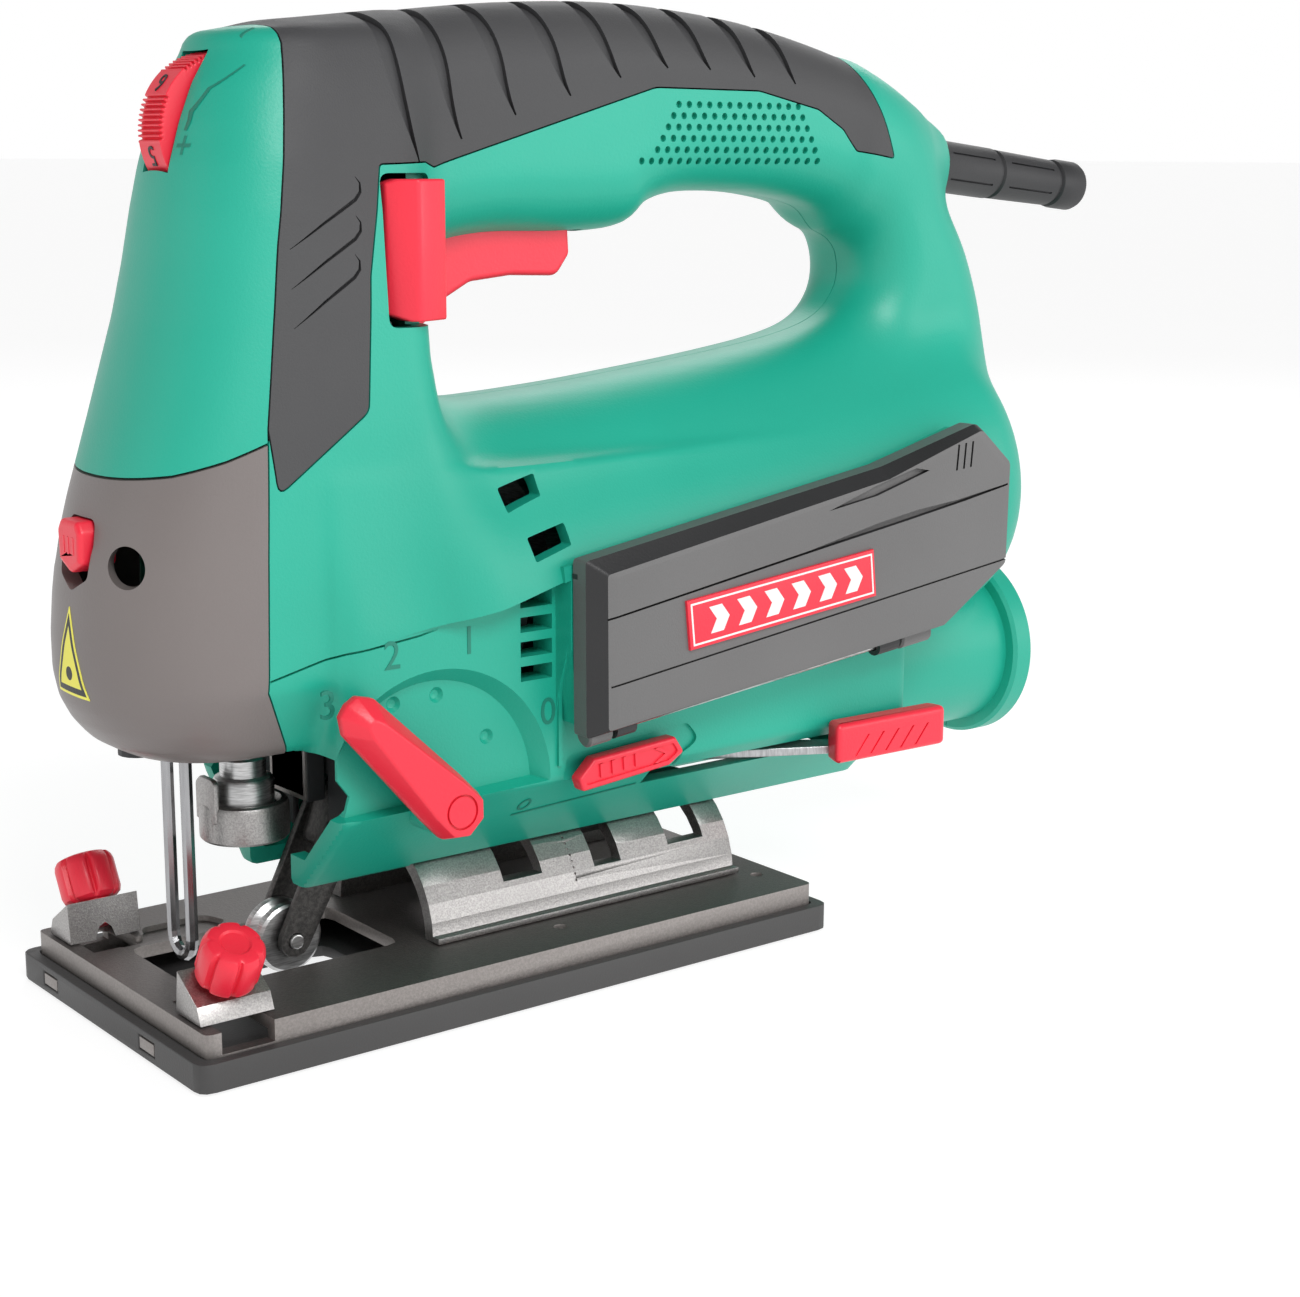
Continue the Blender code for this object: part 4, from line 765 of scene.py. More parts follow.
nose = within(twin(OUTER, "nose_shell"), front_region, lower, keep_others=True)
plunger_way = rod("plunger_way", PLUNGER, UPRIGHT, 7.8, 40, 66)
laser_pocket = prism("laser_pocket", rounded([(-6.2, 97.4, 2.2), (-5.6, 91.0, 1.6), (0, 88.2, 2.5),
                                              (5.6, 91.0, 1.6), (6.2, 97.4, 2.2), (5.0, 102.0, 2.2),
                                              (-5.0, 102.0, 2.2)]), "X", -90, -71)
screw_ways = [turned("screw_way_%d" % side, [(3.9, 0), (3.9, 14), (2.2, 14.1), (2.2, 40)],
                     (-80.5, side * 20.5, 94.2), (0.66, -side * 0.75, 0.0)) for side in (-1, 1)]
laser_hole = rod("laser_hole", (-67.5, 0, 0), UPRIGHT, 4.8, 40, 70)
guard_holes = [rod("guard_hole_%d" % side, (-60, side * 4.0, 0), UPRIGHT, 1.7, 40, 70) for side in (-1, 1)]
cut(nose, INNER, keep_others=True)
cut(nose, plunger_way, laser_pocket, *screw_ways, laser_hole, *guard_holes)
dress(cap, GREEN, "machine", "green_shell", "front_cap")
dress(nose, NOSE_GREY, "machine", "nose_metallic", "nose_cover")

# %% [markdown]
# The soft overmould keeps a hand from slipping: nine tapering grooves run over
# the handle's crown, and three hooked strokes mark the head where a thumb rests.
# Each groove is a curved blade in side view. Blade minus the skin at its floor
# level leaves a cutter of even depth, whatever the surface does.

# %% Groove blades
def blade(name, path, width, reach=60.0):
    """A tapering strip along a path in side view, swept across the body."""
    path = [Vector(point) for point in path]
    left, right = [], []
    for index, here in enumerate(path):
        way = (path[min(index + 1, len(path) - 1)] - path[max(index - 1, 0)]).normalized()
        share = index / (len(path) - 1)
        half = 0.5 * width * (0.12 + 0.88 * math.sin(math.pi * share ** 0.8) ** 1.3)
        left.append(here + half * Vector((-way.y, way.x)))
        right.append(here - half * Vector((-way.y, way.x)))
    return through(name, left + right[::-1], reach)


def bowed(start, end, bow, steps=14):
    """A path from start to end that bows to one side."""
    start, end = Vector(start), Vector(end)
    way = end - start
    aside = Vector((-way.y, way.x)).normalized() * bow
    return [tuple(start + way * t + aside * 4 * t * (1 - t)) for t in (k / steps for k in range(steps + 1))]


CROWN_GROOVES = [(-14.6, -15.3, 166.0), (-2.3, -2.9, 171.1), (10.1, 9.9, 175.8), (23.2, 23.3, 179.7),
                 (36.1, 35.9, 183.5), (48.6, 48.1, 185.7), (60.7, 59.5, 185.6), (73.8, 71.7, 184.4),
                 (86.4, 83.3, 183.2)]
grooves = [blade("groove_%d" % index, bowed((top - 5.5, 203.0), (foot, low), -2.2, 20), 3.4)
           for index, (top, foot, low) in enumerate(CROWN_GROOVES)]
for index, (start, end) in enumerate((((-45.6, 151.2), (-31.6, 160.0)), ((-45.9, 144.1), (-32.2, 152.9)),
                                      ((-46.0, 137.0), (-32.9, 145.9)))):
    hook = [start, ((start[0] + end[0]) / 2, (start[1] + end[1]) / 2 + 0.2), end,
            (end[0] + 1.2, end[1] + 1.4), (end[0] + 1.3, end[1] + 3.0), (end[0] + 0.4, end[1] + 4.2)]
    smooth = []
    for a, b in zip(hook, hook[1:]):
        smooth += [(a[0] + (b[0] - a[0]) * t, a[1] + (b[1] - a[1]) * t) for t in (0, 0.5)]
    grooves.append(blade("stroke_%d" % index, smooth + [hook[-1]], 0.7))
grip = within(twin(OUTER, "grip_skin"), grip_region, keep_others=True)
cut(grip, INNER, front_gap, keep_others=True)
for groove in grooves:
    cut(groove, FLOOR, keep_others=True)
print(len(grooves), "grooves to cut")

# %% [markdown]
# The lock-on button sits in a pocket at the corner of the head, and the trigger
# in a slot under the handle. Both pockets are cut from the overmould and the
# housing alike.

# %% Pockets of the lock button and the trigger
LOCK_POCKET = rounded([(-26.0, 136.2, 2.2), (-12.0, 136.2, 2.2), (-12.0, 164.8, 2.2), (-26.0, 164.8, 2.2)])
lock_pocket = prism("lock_pocket", LOCK_POCKET, "Y", -60, -18.0)
trigger_way = block("trigger_way", (-13.2, -7.6, 131.5), (33.4, 7.6, 162.5))
cut(grip, *grooves)
cut(grip, lock_pocket, trigger_way, keep_others=True)
dress(grip, GRIP, "machine", "soft_grip", "grip_overmould")

# %% [markdown]
# The perforations on the handle, where the motor's hum would otherwise drum, are
# a staggered field of small blind holes. Geometry Nodes make them: a grid of
# points, every second row shifted, thinned to a slanting patch, each point
# carrying a rod. The result is one mesh that cuts all the holes at once.

# %% A tree that repeats a shape
class Tree:
    """A Geometry Nodes tree with named inputs, ending in realized, painted mesh."""

    def __init__(self, name, inputs):
        self.group = bpy.data.node_groups.new(name, "GeometryNodeTree")
        face = self.group.interface
        for key, kind in inputs.items():
            face.new_socket(key, in_out="INPUT", socket_type=kind)
        face.new_socket("Geometry", in_out="OUTPUT", socket_type="NodeSocketGeometry")
        self.source = self.group.nodes.new("NodeGroupInput")
        self.result = self.group.nodes.new("NodeGroupOutput")

    def node(self, kind, settings=None, inputs=()):
        made = self.group.nodes.new(kind)
        for key, value in (settings or {}).items():
            setattr(made, key, value)
        pairs = inputs.items() if isinstance(inputs, dict) else enumerate(inputs)
        for key, value in pairs:
            if isinstance(value, bpy.types.NodeSocket):
                self.group.links.new(value, made.inputs[key])
            else:
                made.inputs[key].default_value = value
        return made

    def given(self, name):
        return self.source.outputs[name]

    def end(self, geometry, finish):
        real = self.node("GeometryNodeRealizeInstances", {}, {0: geometry})
        paint = self.node("GeometryNodeSetMaterial", {}, {"Geometry": real.outputs[0]})
        paint.inputs["Material"].default_value = finish
        self.group.links.new(paint.outputs[0], self.result.inputs[0])

    def run(self, name, values):
        """Run the tree on an empty mesh and keep what it makes."""
        thing = bpy.data.objects.new(name, bpy.data.meshes.new(name))
        bpy.context.collection.objects.link(thing)
        change = thing.modifiers.new("Tree", "NODES")
        change.node_group = self.group
        for item in self.group.interface.items_tree:
            if item.in_out == "INPUT" and item.name in values:
                change[item.identifier] = values[item.name]
        return bake(thing)


def number_grid(tree, columns, rows, pitch_x, pitch_z):
    """Points in the XZ plane, starting at the origin, from four named inputs."""
    grid = tree.node("GeometryNodeMeshGrid", {}, {"Vertices X": columns, "Vertices Y": rows})
    index = tree.node("GeometryNodeInputIndex").outputs[0]
    column = tree.node("ShaderNodeMath", {"operation": "DIVIDE"}, [index, rows])
    column = tree.node("ShaderNodeMath", {"operation": "FLOOR"}, [column.outputs[0]])
    row = tree.node("ShaderNodeMath", {"operation": "FLOORED_MODULO"}, [index, rows])
    odd = tree.node("ShaderNodeMath", {"operation": "FLOORED_MODULO"}, [row.outputs[0], 2.0])
    shift = tree.node("ShaderNodeMath", {"operation": "MULTIPLY_ADD"},
                      [odd.outputs[0], 0.5, column.outputs[0]])
    across = tree.node("ShaderNodeMath", {"operation": "MULTIPLY"}, [shift.outputs[0], pitch_x])
    up = tree.node("ShaderNodeMath", {"operation": "MULTIPLY"}, [row.outputs[0], pitch_z])
    spot = tree.node("ShaderNodeCombineXYZ", {}, {"X": across.outputs[0], "Z": up.outputs[0]})
    return tree.node("GeometryNodeSetPosition", {}, {"Geometry": grid.outputs["Mesh"],
                                                     "Position": spot.outputs[0]}), across, up


holes = Tree("perforations", {"Columns": "NodeSocketInt", "Rows": "NodeSocketInt",
                              "Pitch X": "NodeSocketFloat", "Pitch Z": "NodeSocketFloat",
                              "Radius": "NodeSocketFloat", "Depth": "NodeSocketFloat",
                              "Slant": "NodeSocketFloat", "Reach": "NodeSocketFloat"})
spots, across, up = number_grid(holes, holes.given("Columns"), holes.given("Rows"),
                                holes.given("Pitch X"), holes.given("Pitch Z"))
# the patch leans forwards at both ends: across minus slant times up stays in range
low_end = holes.node("ShaderNodeMath", {"operation": "MULTIPLY"}, [up.outputs[0], holes.given("Slant")])
high_end = holes.node("ShaderNodeMath", {"operation": "MULTIPLY_ADD"},
                      [up.outputs[0], -0.5, holes.given("Reach")])
early = holes.node("FunctionNodeCompare", {"data_type": "FLOAT", "operation": "LESS_THAN"},
                   {0: across.outputs[0], 1: low_end.outputs[0]})
late = holes.node("FunctionNodeCompare", {"data_type": "FLOAT", "operation": "GREATER_THAN"},
                  {0: across.outputs[0], 1: high_end.outputs[0]})
gone = holes.node("FunctionNodeBooleanMath", {"operation": "OR"}, [early.outputs[0], late.outputs[0]])
kept = holes.node("GeometryNodeDeleteGeometry", {"domain": "POINT"},
                  {"Geometry": spots.outputs[0], "Selection": gone.outputs[0]})
pin = holes.node("GeometryNodeMeshCylinder", {"fill_type": "NGON"},
                 {"Vertices": 12, "Radius": holes.given("Radius"), "Depth": holes.given("Depth")})
dots = holes.node("GeometryNodeInstanceOnPoints", {},
                  {"Points": kept.outputs[0], "Instance": pin.outputs[0],
                   "Rotation": (math.pi / 2, 0.0, 0.0)})
holes.end(dots.outputs[0], GREEN)
perforations = holes.run("perforations", {"Columns": 20, "Rows": 6, "Pitch X": 2.75 * MM, "Pitch Z": 2.3 * MM,
                                          "Radius": 0.75 * MM, "Depth": 90.0 * MM, "Slant": 0.8,
                                          "Reach": 49.5 * MM})
perforations.data.transform(Matrix.Translation(Vector((41.4, 0.0, 167.0)) * MM))
print("perforation cutter", len(perforations.data.polygons), "faces")

# %% [markdown]
# The housing is two mirrored shells. Its left side carries the flat panel with
# the stroke selector, the louvres, the slot of the blower slider and the plinth
# of the storage lid. The panel is cut flat first, so its upper edge grows where
# the barrel bulges.

# %% Shared housing features
LID_ORIGIN = (9.5, 54.0)


def lid_point(u, v):
    return (LID_ORIGIN[0] + u * math.cos(TILT) - v * math.sin(TILT),
            LID_ORIGIN[1] + u * math.sin(TILT) + v * math.cos(TILT))


LID_FORM = [(0.0, 0.0), (99.0, 0.5), (119.5, 11.0), (122.5, 34.5), (113.5, 44.5), (84.0, 40.0), (0.0, 36.0)]
shell = twin(OUTER, "shell")
flange = turned("port_flange", [(17.2, 153.4), (21.9, 153.4), (22.7, 154.2), (22.7, 158.8), (22.1, 159.4),
                                (17.2, 159.4)], (0, 0, PORT_Z), AHEAD, 96)
plinth = prism("lid_plinth", grown([lid_point(u, v) for u, v in LID_FORM], -1.6), "Y", -36.3, 36.3)
join(shell, flange, plinth)
bore = rod("port_bore", (0, 0, PORT_Z), AHEAD, 16.5, 100, 170, 96)
boot_hole = rod("boot_hole", BOOT, BOOT_WAY, 6.75, -30, 10)
BRACKET_Z = 10.2
bracket_way = rod("bracket_way", (0, 0, BRACKET_Z), AHEAD, 20.6, -15, 113, 96)
prong_way = block("prong_way", (-60, -8.5, 0), (-14, 8.5, 54))
bolt_way = rod("bolt_way", (32, 0, 0), UPRIGHT, 3.6, 20, 38)
# the front of the keel is open between its two side walls, and each wall has a bite for the blower
front_open = prism("front_open", [(-26.8, 54.7), (-26.8, 44.5), (-14.0, 31.5), (14.0, 31.5), (26.8, 44.5),
                                  (26.8, 54.7)],
                   "X", -60, -34)
bite = through("prow_bite", [(-62, 56.0), (-44.0, 56.0), (-37.4, 47.2), (-38.6, 43.2), (-43.6, 39.8),
                             (-62, 38.0)])
hub_way = rod("hub_way", PLUNGER, UPRIGHT, 7.6, 40, 58)
arm_way = rod("arm_way", (-24, 0, 38), ACROSS, 2.3, -15, 15, 24)
cut(shell, INNER, keep_others=True)
cut(shell, front_gap, grip_gap, dial_slot, trigger_way, bore, boot_hole, bracket_way, prong_way,
    bolt_way, hub_way, arm_way, front_open, bite, keep_others=True)
drop(bore, boot_hole, bracket_way, prong_way, bolt_way, hub_way, arm_way, front_open, bite)
PANEL_Y, OUTSIDE = 31.0, 60
panels = [prism("panel_%d" % side, PANEL, "Y", *sorted((side * PANEL_Y, side * OUTSIDE))) for side in (-1, 1)]
cut(shell, *panels)


def louvres(side):
    """Two slanted windows and four slots, in side view."""
    cuts = [rounded([(x, z - 2.2, 0.5), (x + 8.9, z + 0.4, 0.5), (x + 8.3, z + 4.8, 0.5),
                     (x - 1.1, z + 2.6, 0.5)])
            for x, z in ((-1.9, 101.6), (2.1, 91.9))]
    # the top slot's upper edge slants along the crease
    for z, front, rear in ((80.2, 1.6, 3.6), (75.2, 3.1, 3.1), (70.2, 3.1, 3.1), (65.2, 3.1, 3.1)):
        cuts.append([(0.6, z), (8.3, z), (8.3, z + rear), (0.6, z + front)])
    return [prism("louvre", outline, "Y", *sorted((side * 19.0, side * OUTSIDE))) for outline in cuts]


cut(shell, *louvres(-1), *louvres(1))
crease = [(-54.0, 72.0), (-38.6, 75.6), (-23.0, 77.4), (-6.6, 80.9), (0.6, 82.9), (9.2, 85.2)]
strip = prism("panel_crease", crease + [(u, v + 0.45) for u, v in reversed(crease)], "Y", -60, 60)
cut(strip, FLOOR, keep_others=True)
cut(shell, strip)
rails = [prism("rail", [(9.4, 46.5), (10.3, 46.5), (10.3, 85.0), (9.4, 84.8)], "Y",
               *sorted((side * 30.0, side * 31.7))) for side in (-1, 1)]
join(shell, *rails)
print("shell", len(shell.data.polygons), "faces")

# %% Left half: selector recess, slider slot, lever slot
left_half = within(twin(shell, "shell_left"), block("left_side", (-120, -80, 0), (220, -0.12, 230)))
PIVOT = (-19.0, 43.5)


def fan(radius, rise):
    """A half disc about the lever's pivot, with its flat edge along the ledge."""
    return [(PIVOT[0] - radius, 42.4 + rise), (PIVOT[0] + radius, 44.0 + rise)] + [
        (PIVOT[0] + radius * math.cos(a), PIVOT[1] + radius * math.sin(a))
        for a in (math.radians(d) for d in range(8, 172, 4))]


recess_cut = loft("selector_recess", [placed(fan(27.2, -0.5), "Y", -60), placed(fan(27.2, -0.5), "Y", -31.4),
                                      placed(fan(24.0, 0.6), "Y", -27.6)])
dimples = [turned("dimple_%d" % index, [(0.1, -26.6), (0.9, -26.8), (1.6, -27.6), (1.6, -31)],
                  (x, 0, z), ACROSS, 24) for index, (x, z) in enumerate(((-27.2, 64.0), (-17.3, 64.5),
                                                                         (-5.6, 54.3)))]
slider_recess = prism("slider_recess", rounded([(11.0, 43.6, 2), (14.0, 40.8, 2), (40.0, 42.8, 3),
                                                (47.0, 46.4, 2), (43.6, 50.4, 2), (12.0, 48.2, 2)]),
                      "Y", -60, -30.2)
lever_way = prism("lever_way", [(36, 36.9), (110, 36.9), (110, 40.6), (36, 40.6)], "Y", -60, -14)
PIVOT_AXIS = (PIVOT[0], 0, PIVOT[1])
selector_way = rod("selector_way", PIVOT_AXIS, ACROSS, 4.3, -60, -14, 32)
boss = rod("selector_boss", PIVOT_AXIS, ACROSS, 6.0, -33.2, -25.4, 40)
cut(left_half, recess_cut)
join(left_half, boss)
cut(left_half, slider_recess, lever_way, selector_way, *dimples)
cut(left_half, lock_pocket)
cut(perforations, FLOOR, keep_others=True)
cut(left_half, perforations, keep_others=True)
dress(left_half, GREEN, "machine", "green_shell", "housing_left")

# %% Right half
right_half = within(shell, block("right_side", (-120, 0.12, 0), (220, 80, 230)))
right_half.name = "shell_right"
SCREWS = [((-4.0, 41.0), 1), ((88.0, 43.0), 2), ((138.0, 96.0), 3), ((62.0, 171.0), 4)]
cut(right_half, perforations)
for (x, z), number in SCREWS:
    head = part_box("housing_screw_%d" % number)[1][1] / MM
    post = within(rod("post", (x, 0, z), ACROSS, 5.4, head - 6, 45), LABEL_FOOT, keep_others=True)
    join(right_half, post)
    cut(right_half, rod("well", (x, 0, z), ACROSS, 3.7, head - 3.2, OUTSIDE))
    print("screw", number, "head at y", round(head, 1))
vents = [prism("vent", rounded([(*lid_point(u + lean, v), 0.9) for lean, v in
                                ((0, 12.0), (2.4, 12.0), (6.4, 27.0), (4.0, 27.0))], 3), "Y", 26, OUTSIDE)
         for u in range(26, 84, 6)]
cut(right_half, *vents)
dress(right_half, GREEN, "machine", "green_shell", "housing_right")

# %% [markdown]
# Small printed marks, and one dark strip that paints the shadow line under a ledge,
# follow the body's curved surface. Each mark is a flat outline swept through the
# body, and what lies between two skins, one just above the surface and one just
# below it, is the mark: it bends with the surface by itself. Numbers come from a
# text object that is made a mesh first.

# %% Marks on the body
WHITE = moulded("print_white", (0.80, 0.80, 0.79), (0.74, 0.74, 0.73), 0.45)
YELLOW = moulded("print_yellow", (0.88, 0.83, 0.10), (0.82, 0.76, 0.08), 0.42)
PRINT_BLACK = moulded("print_black", (0.020, 0.020, 0.021), (0.014, 0.014, 0.015), 0.45)
# darker green for the printed marks, and for the painted shadow line under the keel ledge
DARK_GREEN = moulded("shell_green_shade", (0.006, 0.215, 0.150), (0.005, 0.185, 0.130), 0.5)


def merged(name, things):
    """One object with the meshes of several."""
    work = bmesh.new()
    for thing in things:
        work.from_mesh(thing.data)
    mesh = bpy.data.meshes.new(name)
    work.to_mesh(mesh)
    work.free()
    drop(*things)
    result = bpy.data.objects.new(name, mesh)
    bpy.context.collection.objects.link(result)
    return result


def on_body(name, prisms, finish, slot):
    """Marks on the body: prisms trimmed to the thin layer at its surface."""
    layers = []
    for one in prisms:
        within(one, LABEL_TOP, keep_others=True)
        cut(one, LABEL_FOOT, keep_others=True)
        layers.append(one)
    return dress(merged(name, layers), finish, "machine", slot)


def figure(name, words, size, depth, turn):
    """A number as a solid, its middle at the origin, then placed by turn."""
    text = bpy.data.curves.new(name, "FONT")
    text.body = words
    text.size = size * MM
    text.extrude = depth * MM / 2
    text.align_x = "CENTER"
    text.align_y = "CENTER"
    text.resolution_u = 4
    holder = bpy.data.objects.new(name + "_text", text)
    bpy.context.collection.objects.link(holder)
    graph = bpy.context.evaluated_depsgraph_get()
    mesh = bpy.data.meshes.new_from_object(holder.evaluated_get(graph))
    drop(holder)
    thing = bpy.data.objects.new(name, mesh)
    bpy.context.collection.objects.link(thing)
    work = bmesh.new()
    work.from_mesh(mesh)
    bmesh.ops.remove_doubles(work, verts=work.verts, dist=0.000001)
    bmesh.ops.recalc_face_normals(work, faces=work.faces)
    work.to_mesh(mesh)
    work.free()
    mesh.transform(turn)
    return thing


def facing_left(x, y, z):
    """Places a flat figure on a wall that faces the left side."""
    return Matrix.Translation(Vector((x, y, z)) * MM) @ Matrix.Rotation(math.pi / 2, 4, "X")


plus = [prism("plus_a", [(-9.7, 169.4), (-6.3, 169.4), (-6.3, 170.0), (-9.7, 170.0)], "X", -90, -50),
        prism("plus_b", [(-8.3, 168.0), (-7.7, 168.0), (-7.7, 171.4), (-8.3, 171.4)], "X", -90, -50)]
minus = prism("minus", [(-46.6, -11.2), (-43.8, -11.2), (-43.8, -10.6), (-46.6, -10.6)], "Z", 172, 200)
swoosh = prism("swoosh", [(-56.75, 172.4), (-56.65, 172.35), (-55.3, 175.75), (-52.7, 179.85), (-47.5, 184.0),
                          (-47.6, 184.12), (-52.88, 179.98), (-55.5, 175.85)], "Y", -40, -2)
on_body("speed_marks", [plus[0], minus, swoosh], DARK_GREEN, "black_plastic")
on_body("speed_mark_upright", [plus[1]], DARK_GREEN, "black_plastic")
stroke_numbers = [figure("stroke_number_" + words, words, 8.0, 0.5, facing_left(x, -30.88, z))
                  for words, x, z in (("3", -43.6, 66.6), ("2", -29.3, 74.3), ("1", -11.7, 75.0),
                                      ("0", 7.2, 58.0))]
dress(merged("stroke_numbers", stroke_numbers), DARK_GREEN, "machine", "black_plastic")

# %% Caution triangle on the nose
def triangle(size):
    """A triangle about its centre, in the plane across the nose."""
    return [(u * size, 73.9 + v * size) for u, v in ((-6.5, -5.6), (6.5, -5.6), (0.0, 11.4))]


def triangle_band(name, outer, inner):
    band = prism(name, triangle(outer), "X", -95, -60)
    return cut(band, prism(name + "_hole", triangle(inner), "X", -96, -59)) if inner else band


on_body("caution_edge", [triangle_band("edge", 1.0, 0.90)], YELLOW, "lid_grey")
on_body("caution_frame", [triangle_band("frame", 0.90, 0.68)], PRINT_BLACK, "black_plastic")
DOT = (0, 0, 72.6)
centre = cut(triangle_band("centre", 0.68, 0.0), rod("dot_hole", DOT, AHEAD, 1.35, -97, -58, 20))
on_body("caution_field", [centre], YELLOW, "lid_grey")
on_body("caution_dot", [rod("dot", DOT, AHEAD, 1.35, -95, -60, 20)], PRINT_BLACK, "black_plastic")

# %% On and off marks by the slider, and a painted shadow line under the keel ledge
OFF = (5.2, 0, 37.7)
off_ring = cut(rod("off_ring", OFF, ACROSS, 1.5, -60, -5, 24),
               rod("off_hole", OFF, ACROSS, 1.05, -61, -4, 24))
on_bar = prism("on_bar", [(41.4, 41.1), (42.0, 41.2), (42.3, 44.0), (41.7, 43.9)], "Y", -60, -5)
# the ledge strip is painted shade: a dark line where the step on the keel throws its shadow
ledge = prism("ledge", [(3.6, 34.9), (34.5, 36.9), (34.5, 37.3), (3.6, 35.35)], "Y", -60, -5)
on_body("blow_marks_and_ledge_shade", [off_ring, on_bar, ledge], DARK_GREEN, "black_plastic")
drop(OUTER, INNER, FLOOR, LABEL_TOP, LABEL_FOOT, front_region, front_gap, grip_region, grip_gap, lower, upper,
     dial_slot, trigger_way)
print("marks placed")

# %% [markdown]
# Most small parts are flat shapes with softly rounded rims, from a mould or a
# press. A loft of inset outlines gives such a rim without any clean-up: each ring
# steps in along a quarter circle.

# %% Moulded flat parts
def turning(outline):
    """Twice the signed area; positive when the outline runs counter-clockwise."""
    return sum(a[0] * b[1] - b[0] * a[1] for a, b in zip(outline, outline[1:] + outline[:1]))


def moulding(name, outline, across, low, high, low_edge, high_edge, steps=4):
    """A prism whose two rims are rounded to the given radii."""
    outline = [tuple(point) for point in outline]
    if turning(outline) < 0:
        outline = outline[::-1]

    def quarter(edge):
        return [(edge * (1 - math.cos(math.pi / 2 * s / steps)),
                 edge * (1 - math.sin(math.pi / 2 * s / steps)))
                for s in range(steps + 1)] if edge else [(0.0, 0.0)]

    rings = [(low + rise, inset) for rise, inset in quarter(low_edge)]
    rings += [(high - rise, inset) for rise, inset in reversed(quarter(high_edge))]
    return loft(name, [placed(grown(outline, -inset), across, level) for level, inset in rings])


def from_cad(node, name):
    """A welded copy of a CAD node's mesh, ready for cuts and soft edges."""
    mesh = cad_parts[node].data.copy()
    thing = bpy.data.objects.new(name, mesh)
    bpy.context.collection.objects.link(thing)
    work = bmesh.new()
    work.from_mesh(mesh)
    bmesh.ops.remove_doubles(work, verts=work.verts, dist=0.000002)
    bmesh.ops.dissolve_limit(work, angle_limit=math.radians(1.0), verts=work.verts, edges=work.edges)
    work.to_mesh(mesh)
    work.free()
    return thing


def two_tone(thing, finish, chosen):
    """Give the faces whose normals pass a test a second finish."""
    thing.data.materials.append(finish)
    for face in thing.data.polygons:
        if chosen(face.normal, face.center / MM):
            face.material_index = 1
    return thing


print("part helpers ready")

# %% [markdown]
# The speed dial is a thumbwheel: a toothed rim that a finger can catch, broken by
# six smooth pads that carry the numbers. Its outline is worked out tooth by tooth
# and then swept to the wheel's width.

# %% Speed dial
PAD_STEP = 54.0
PAD_START = 142.0
pads = [PAD_START + PAD_STEP * index for index in range(6)]


def on_pad(angle):
    return any(abs((angle - pad + 180) % 360 - 180) < 11.5 for pad in pads)


wheel_form = []
for tooth in range(96):
    angle = 3.75 * tooth
    low, high = (14.85, 14.85) if on_pad(angle) else (14.1, 14.95)
    for shift, radius in ((0.0, low), (1.2, low), (1.9, high), (3.1, high)):
        a = math.radians(angle + shift)
        wheel_form.append((DIAL[0] + radius * math.cos(a), DIAL[2] + radius * math.sin(a)))
wheel = prism("dial_wheel", wheel_form, "Y", -4.4, 4.4)
dress(rim(wheel, 0.18, 1, 60), RED, "dial", "red_plastic", "speed_dial")
numbers = []
for index, pad in enumerate(pads):
    a = math.radians(pad)
    out = Vector((math.cos(a), 0, math.sin(a)))
    up = Vector((math.sin(a), 0, -math.cos(a))) * -1
    across = up.cross(out)
    turn = Matrix((across, up, out)).transposed().to_4x4()
    centre = (Vector(DIAL) + out * 14.75) * MM
    numbers.append(figure("number_%d" % index, str(6 - index), 5.4, 0.45, Matrix.Translation(centre) @ turn))
dress(merged("dial_numbers", numbers), PRINT_BLACK, "dial", "black_plastic")

# %% [markdown]
# Three red controls are moulded parts. The trigger is a hooked shape with full,
# rounded rims. The lock button is a tall wedge with a sharp ridge. The laser
# button is a soft hexagon with three raised bars in place of a word.

# %% Trigger, lock button and laser button
trigger_form = rounded([(-11.4, 140.5, 1.4), (-8.6, 132.4, 1.6), (-4.4, 135.6, 2.4), (-0.5, 139.6, 4.0),
                        (6.0, 143.0, 4.0), (16.0, 144.0, 3.0), (27.5, 143.6, 3.0), (30.8, 148.0, 2.2),
                        (30.2, 157.8, 1.6), (-11.4, 158.0, 1.4)], 4)
trigger = moulding("trigger_lever", trigger_form, "Y", -7.0, 7.0, 1.2, 1.2, 5)
dress(trigger, RED, "switch_trigger", "red_plastic", "trigger", angle=50)

lock_form = [(-24.8, -21.6), (-24.8, -24.4), (-20.0, -28.6), (-18.9, -28.6), (-12.2, -25.8), (-12.2, -21.6)]
lock = prism("lock_wedge", lock_form, "Z", 137.3, 163.7)
cut(lock, prism("lock_top", [(-30, 161.0), (-19, 165.2), (-30, 172)], "Y", -40, -10),
    prism("lock_low", [(-30, 140.5), (-18.5, 136.4), (-30, 130)], "Y", -40, -10))
dress(rim(lock, 0.5, 3, 30), RED, "lock", "red_plastic", "lock_button")

laser_form = rounded([(-4.9, 99.6, 1.6), (-4.6, 93.6, 1.2), (0.0, 91.5, 1.6), (4.6, 93.6, 1.2),
                      (4.9, 99.6, 1.6), (3.4, 101.6, 1.2), (-3.4, 101.6, 1.2)])
laser = moulding("laser_cap", laser_form, "X", -80.1, -72.8, 1.1, 0.0, 5)
bars = [moulding("laser_bar", rounded([(y - 0.45, 95.2, 0.3), (y + 0.45, 95.2, 0.3), (y + 0.45, 98.6, 0.3),
                                       (y - 0.45, 98.6, 0.3)], 3),
                 "X", -80.19, -79.6, 0.08, 0.0, 2) for y in (-2.0, 0.0, 2.0)]
join(laser, *bars)
dress(laser, RED, "laser_switch", "red_plastic", "laser_button")

# %% [markdown]
# The stroke selector is a long faceted lever. Its sides slope in to a narrow top
# face, and a ring groove marks the pivot. The slider next to it has a sunken face
# with raised bars and an arrowhead, so a thumb finds its direction.

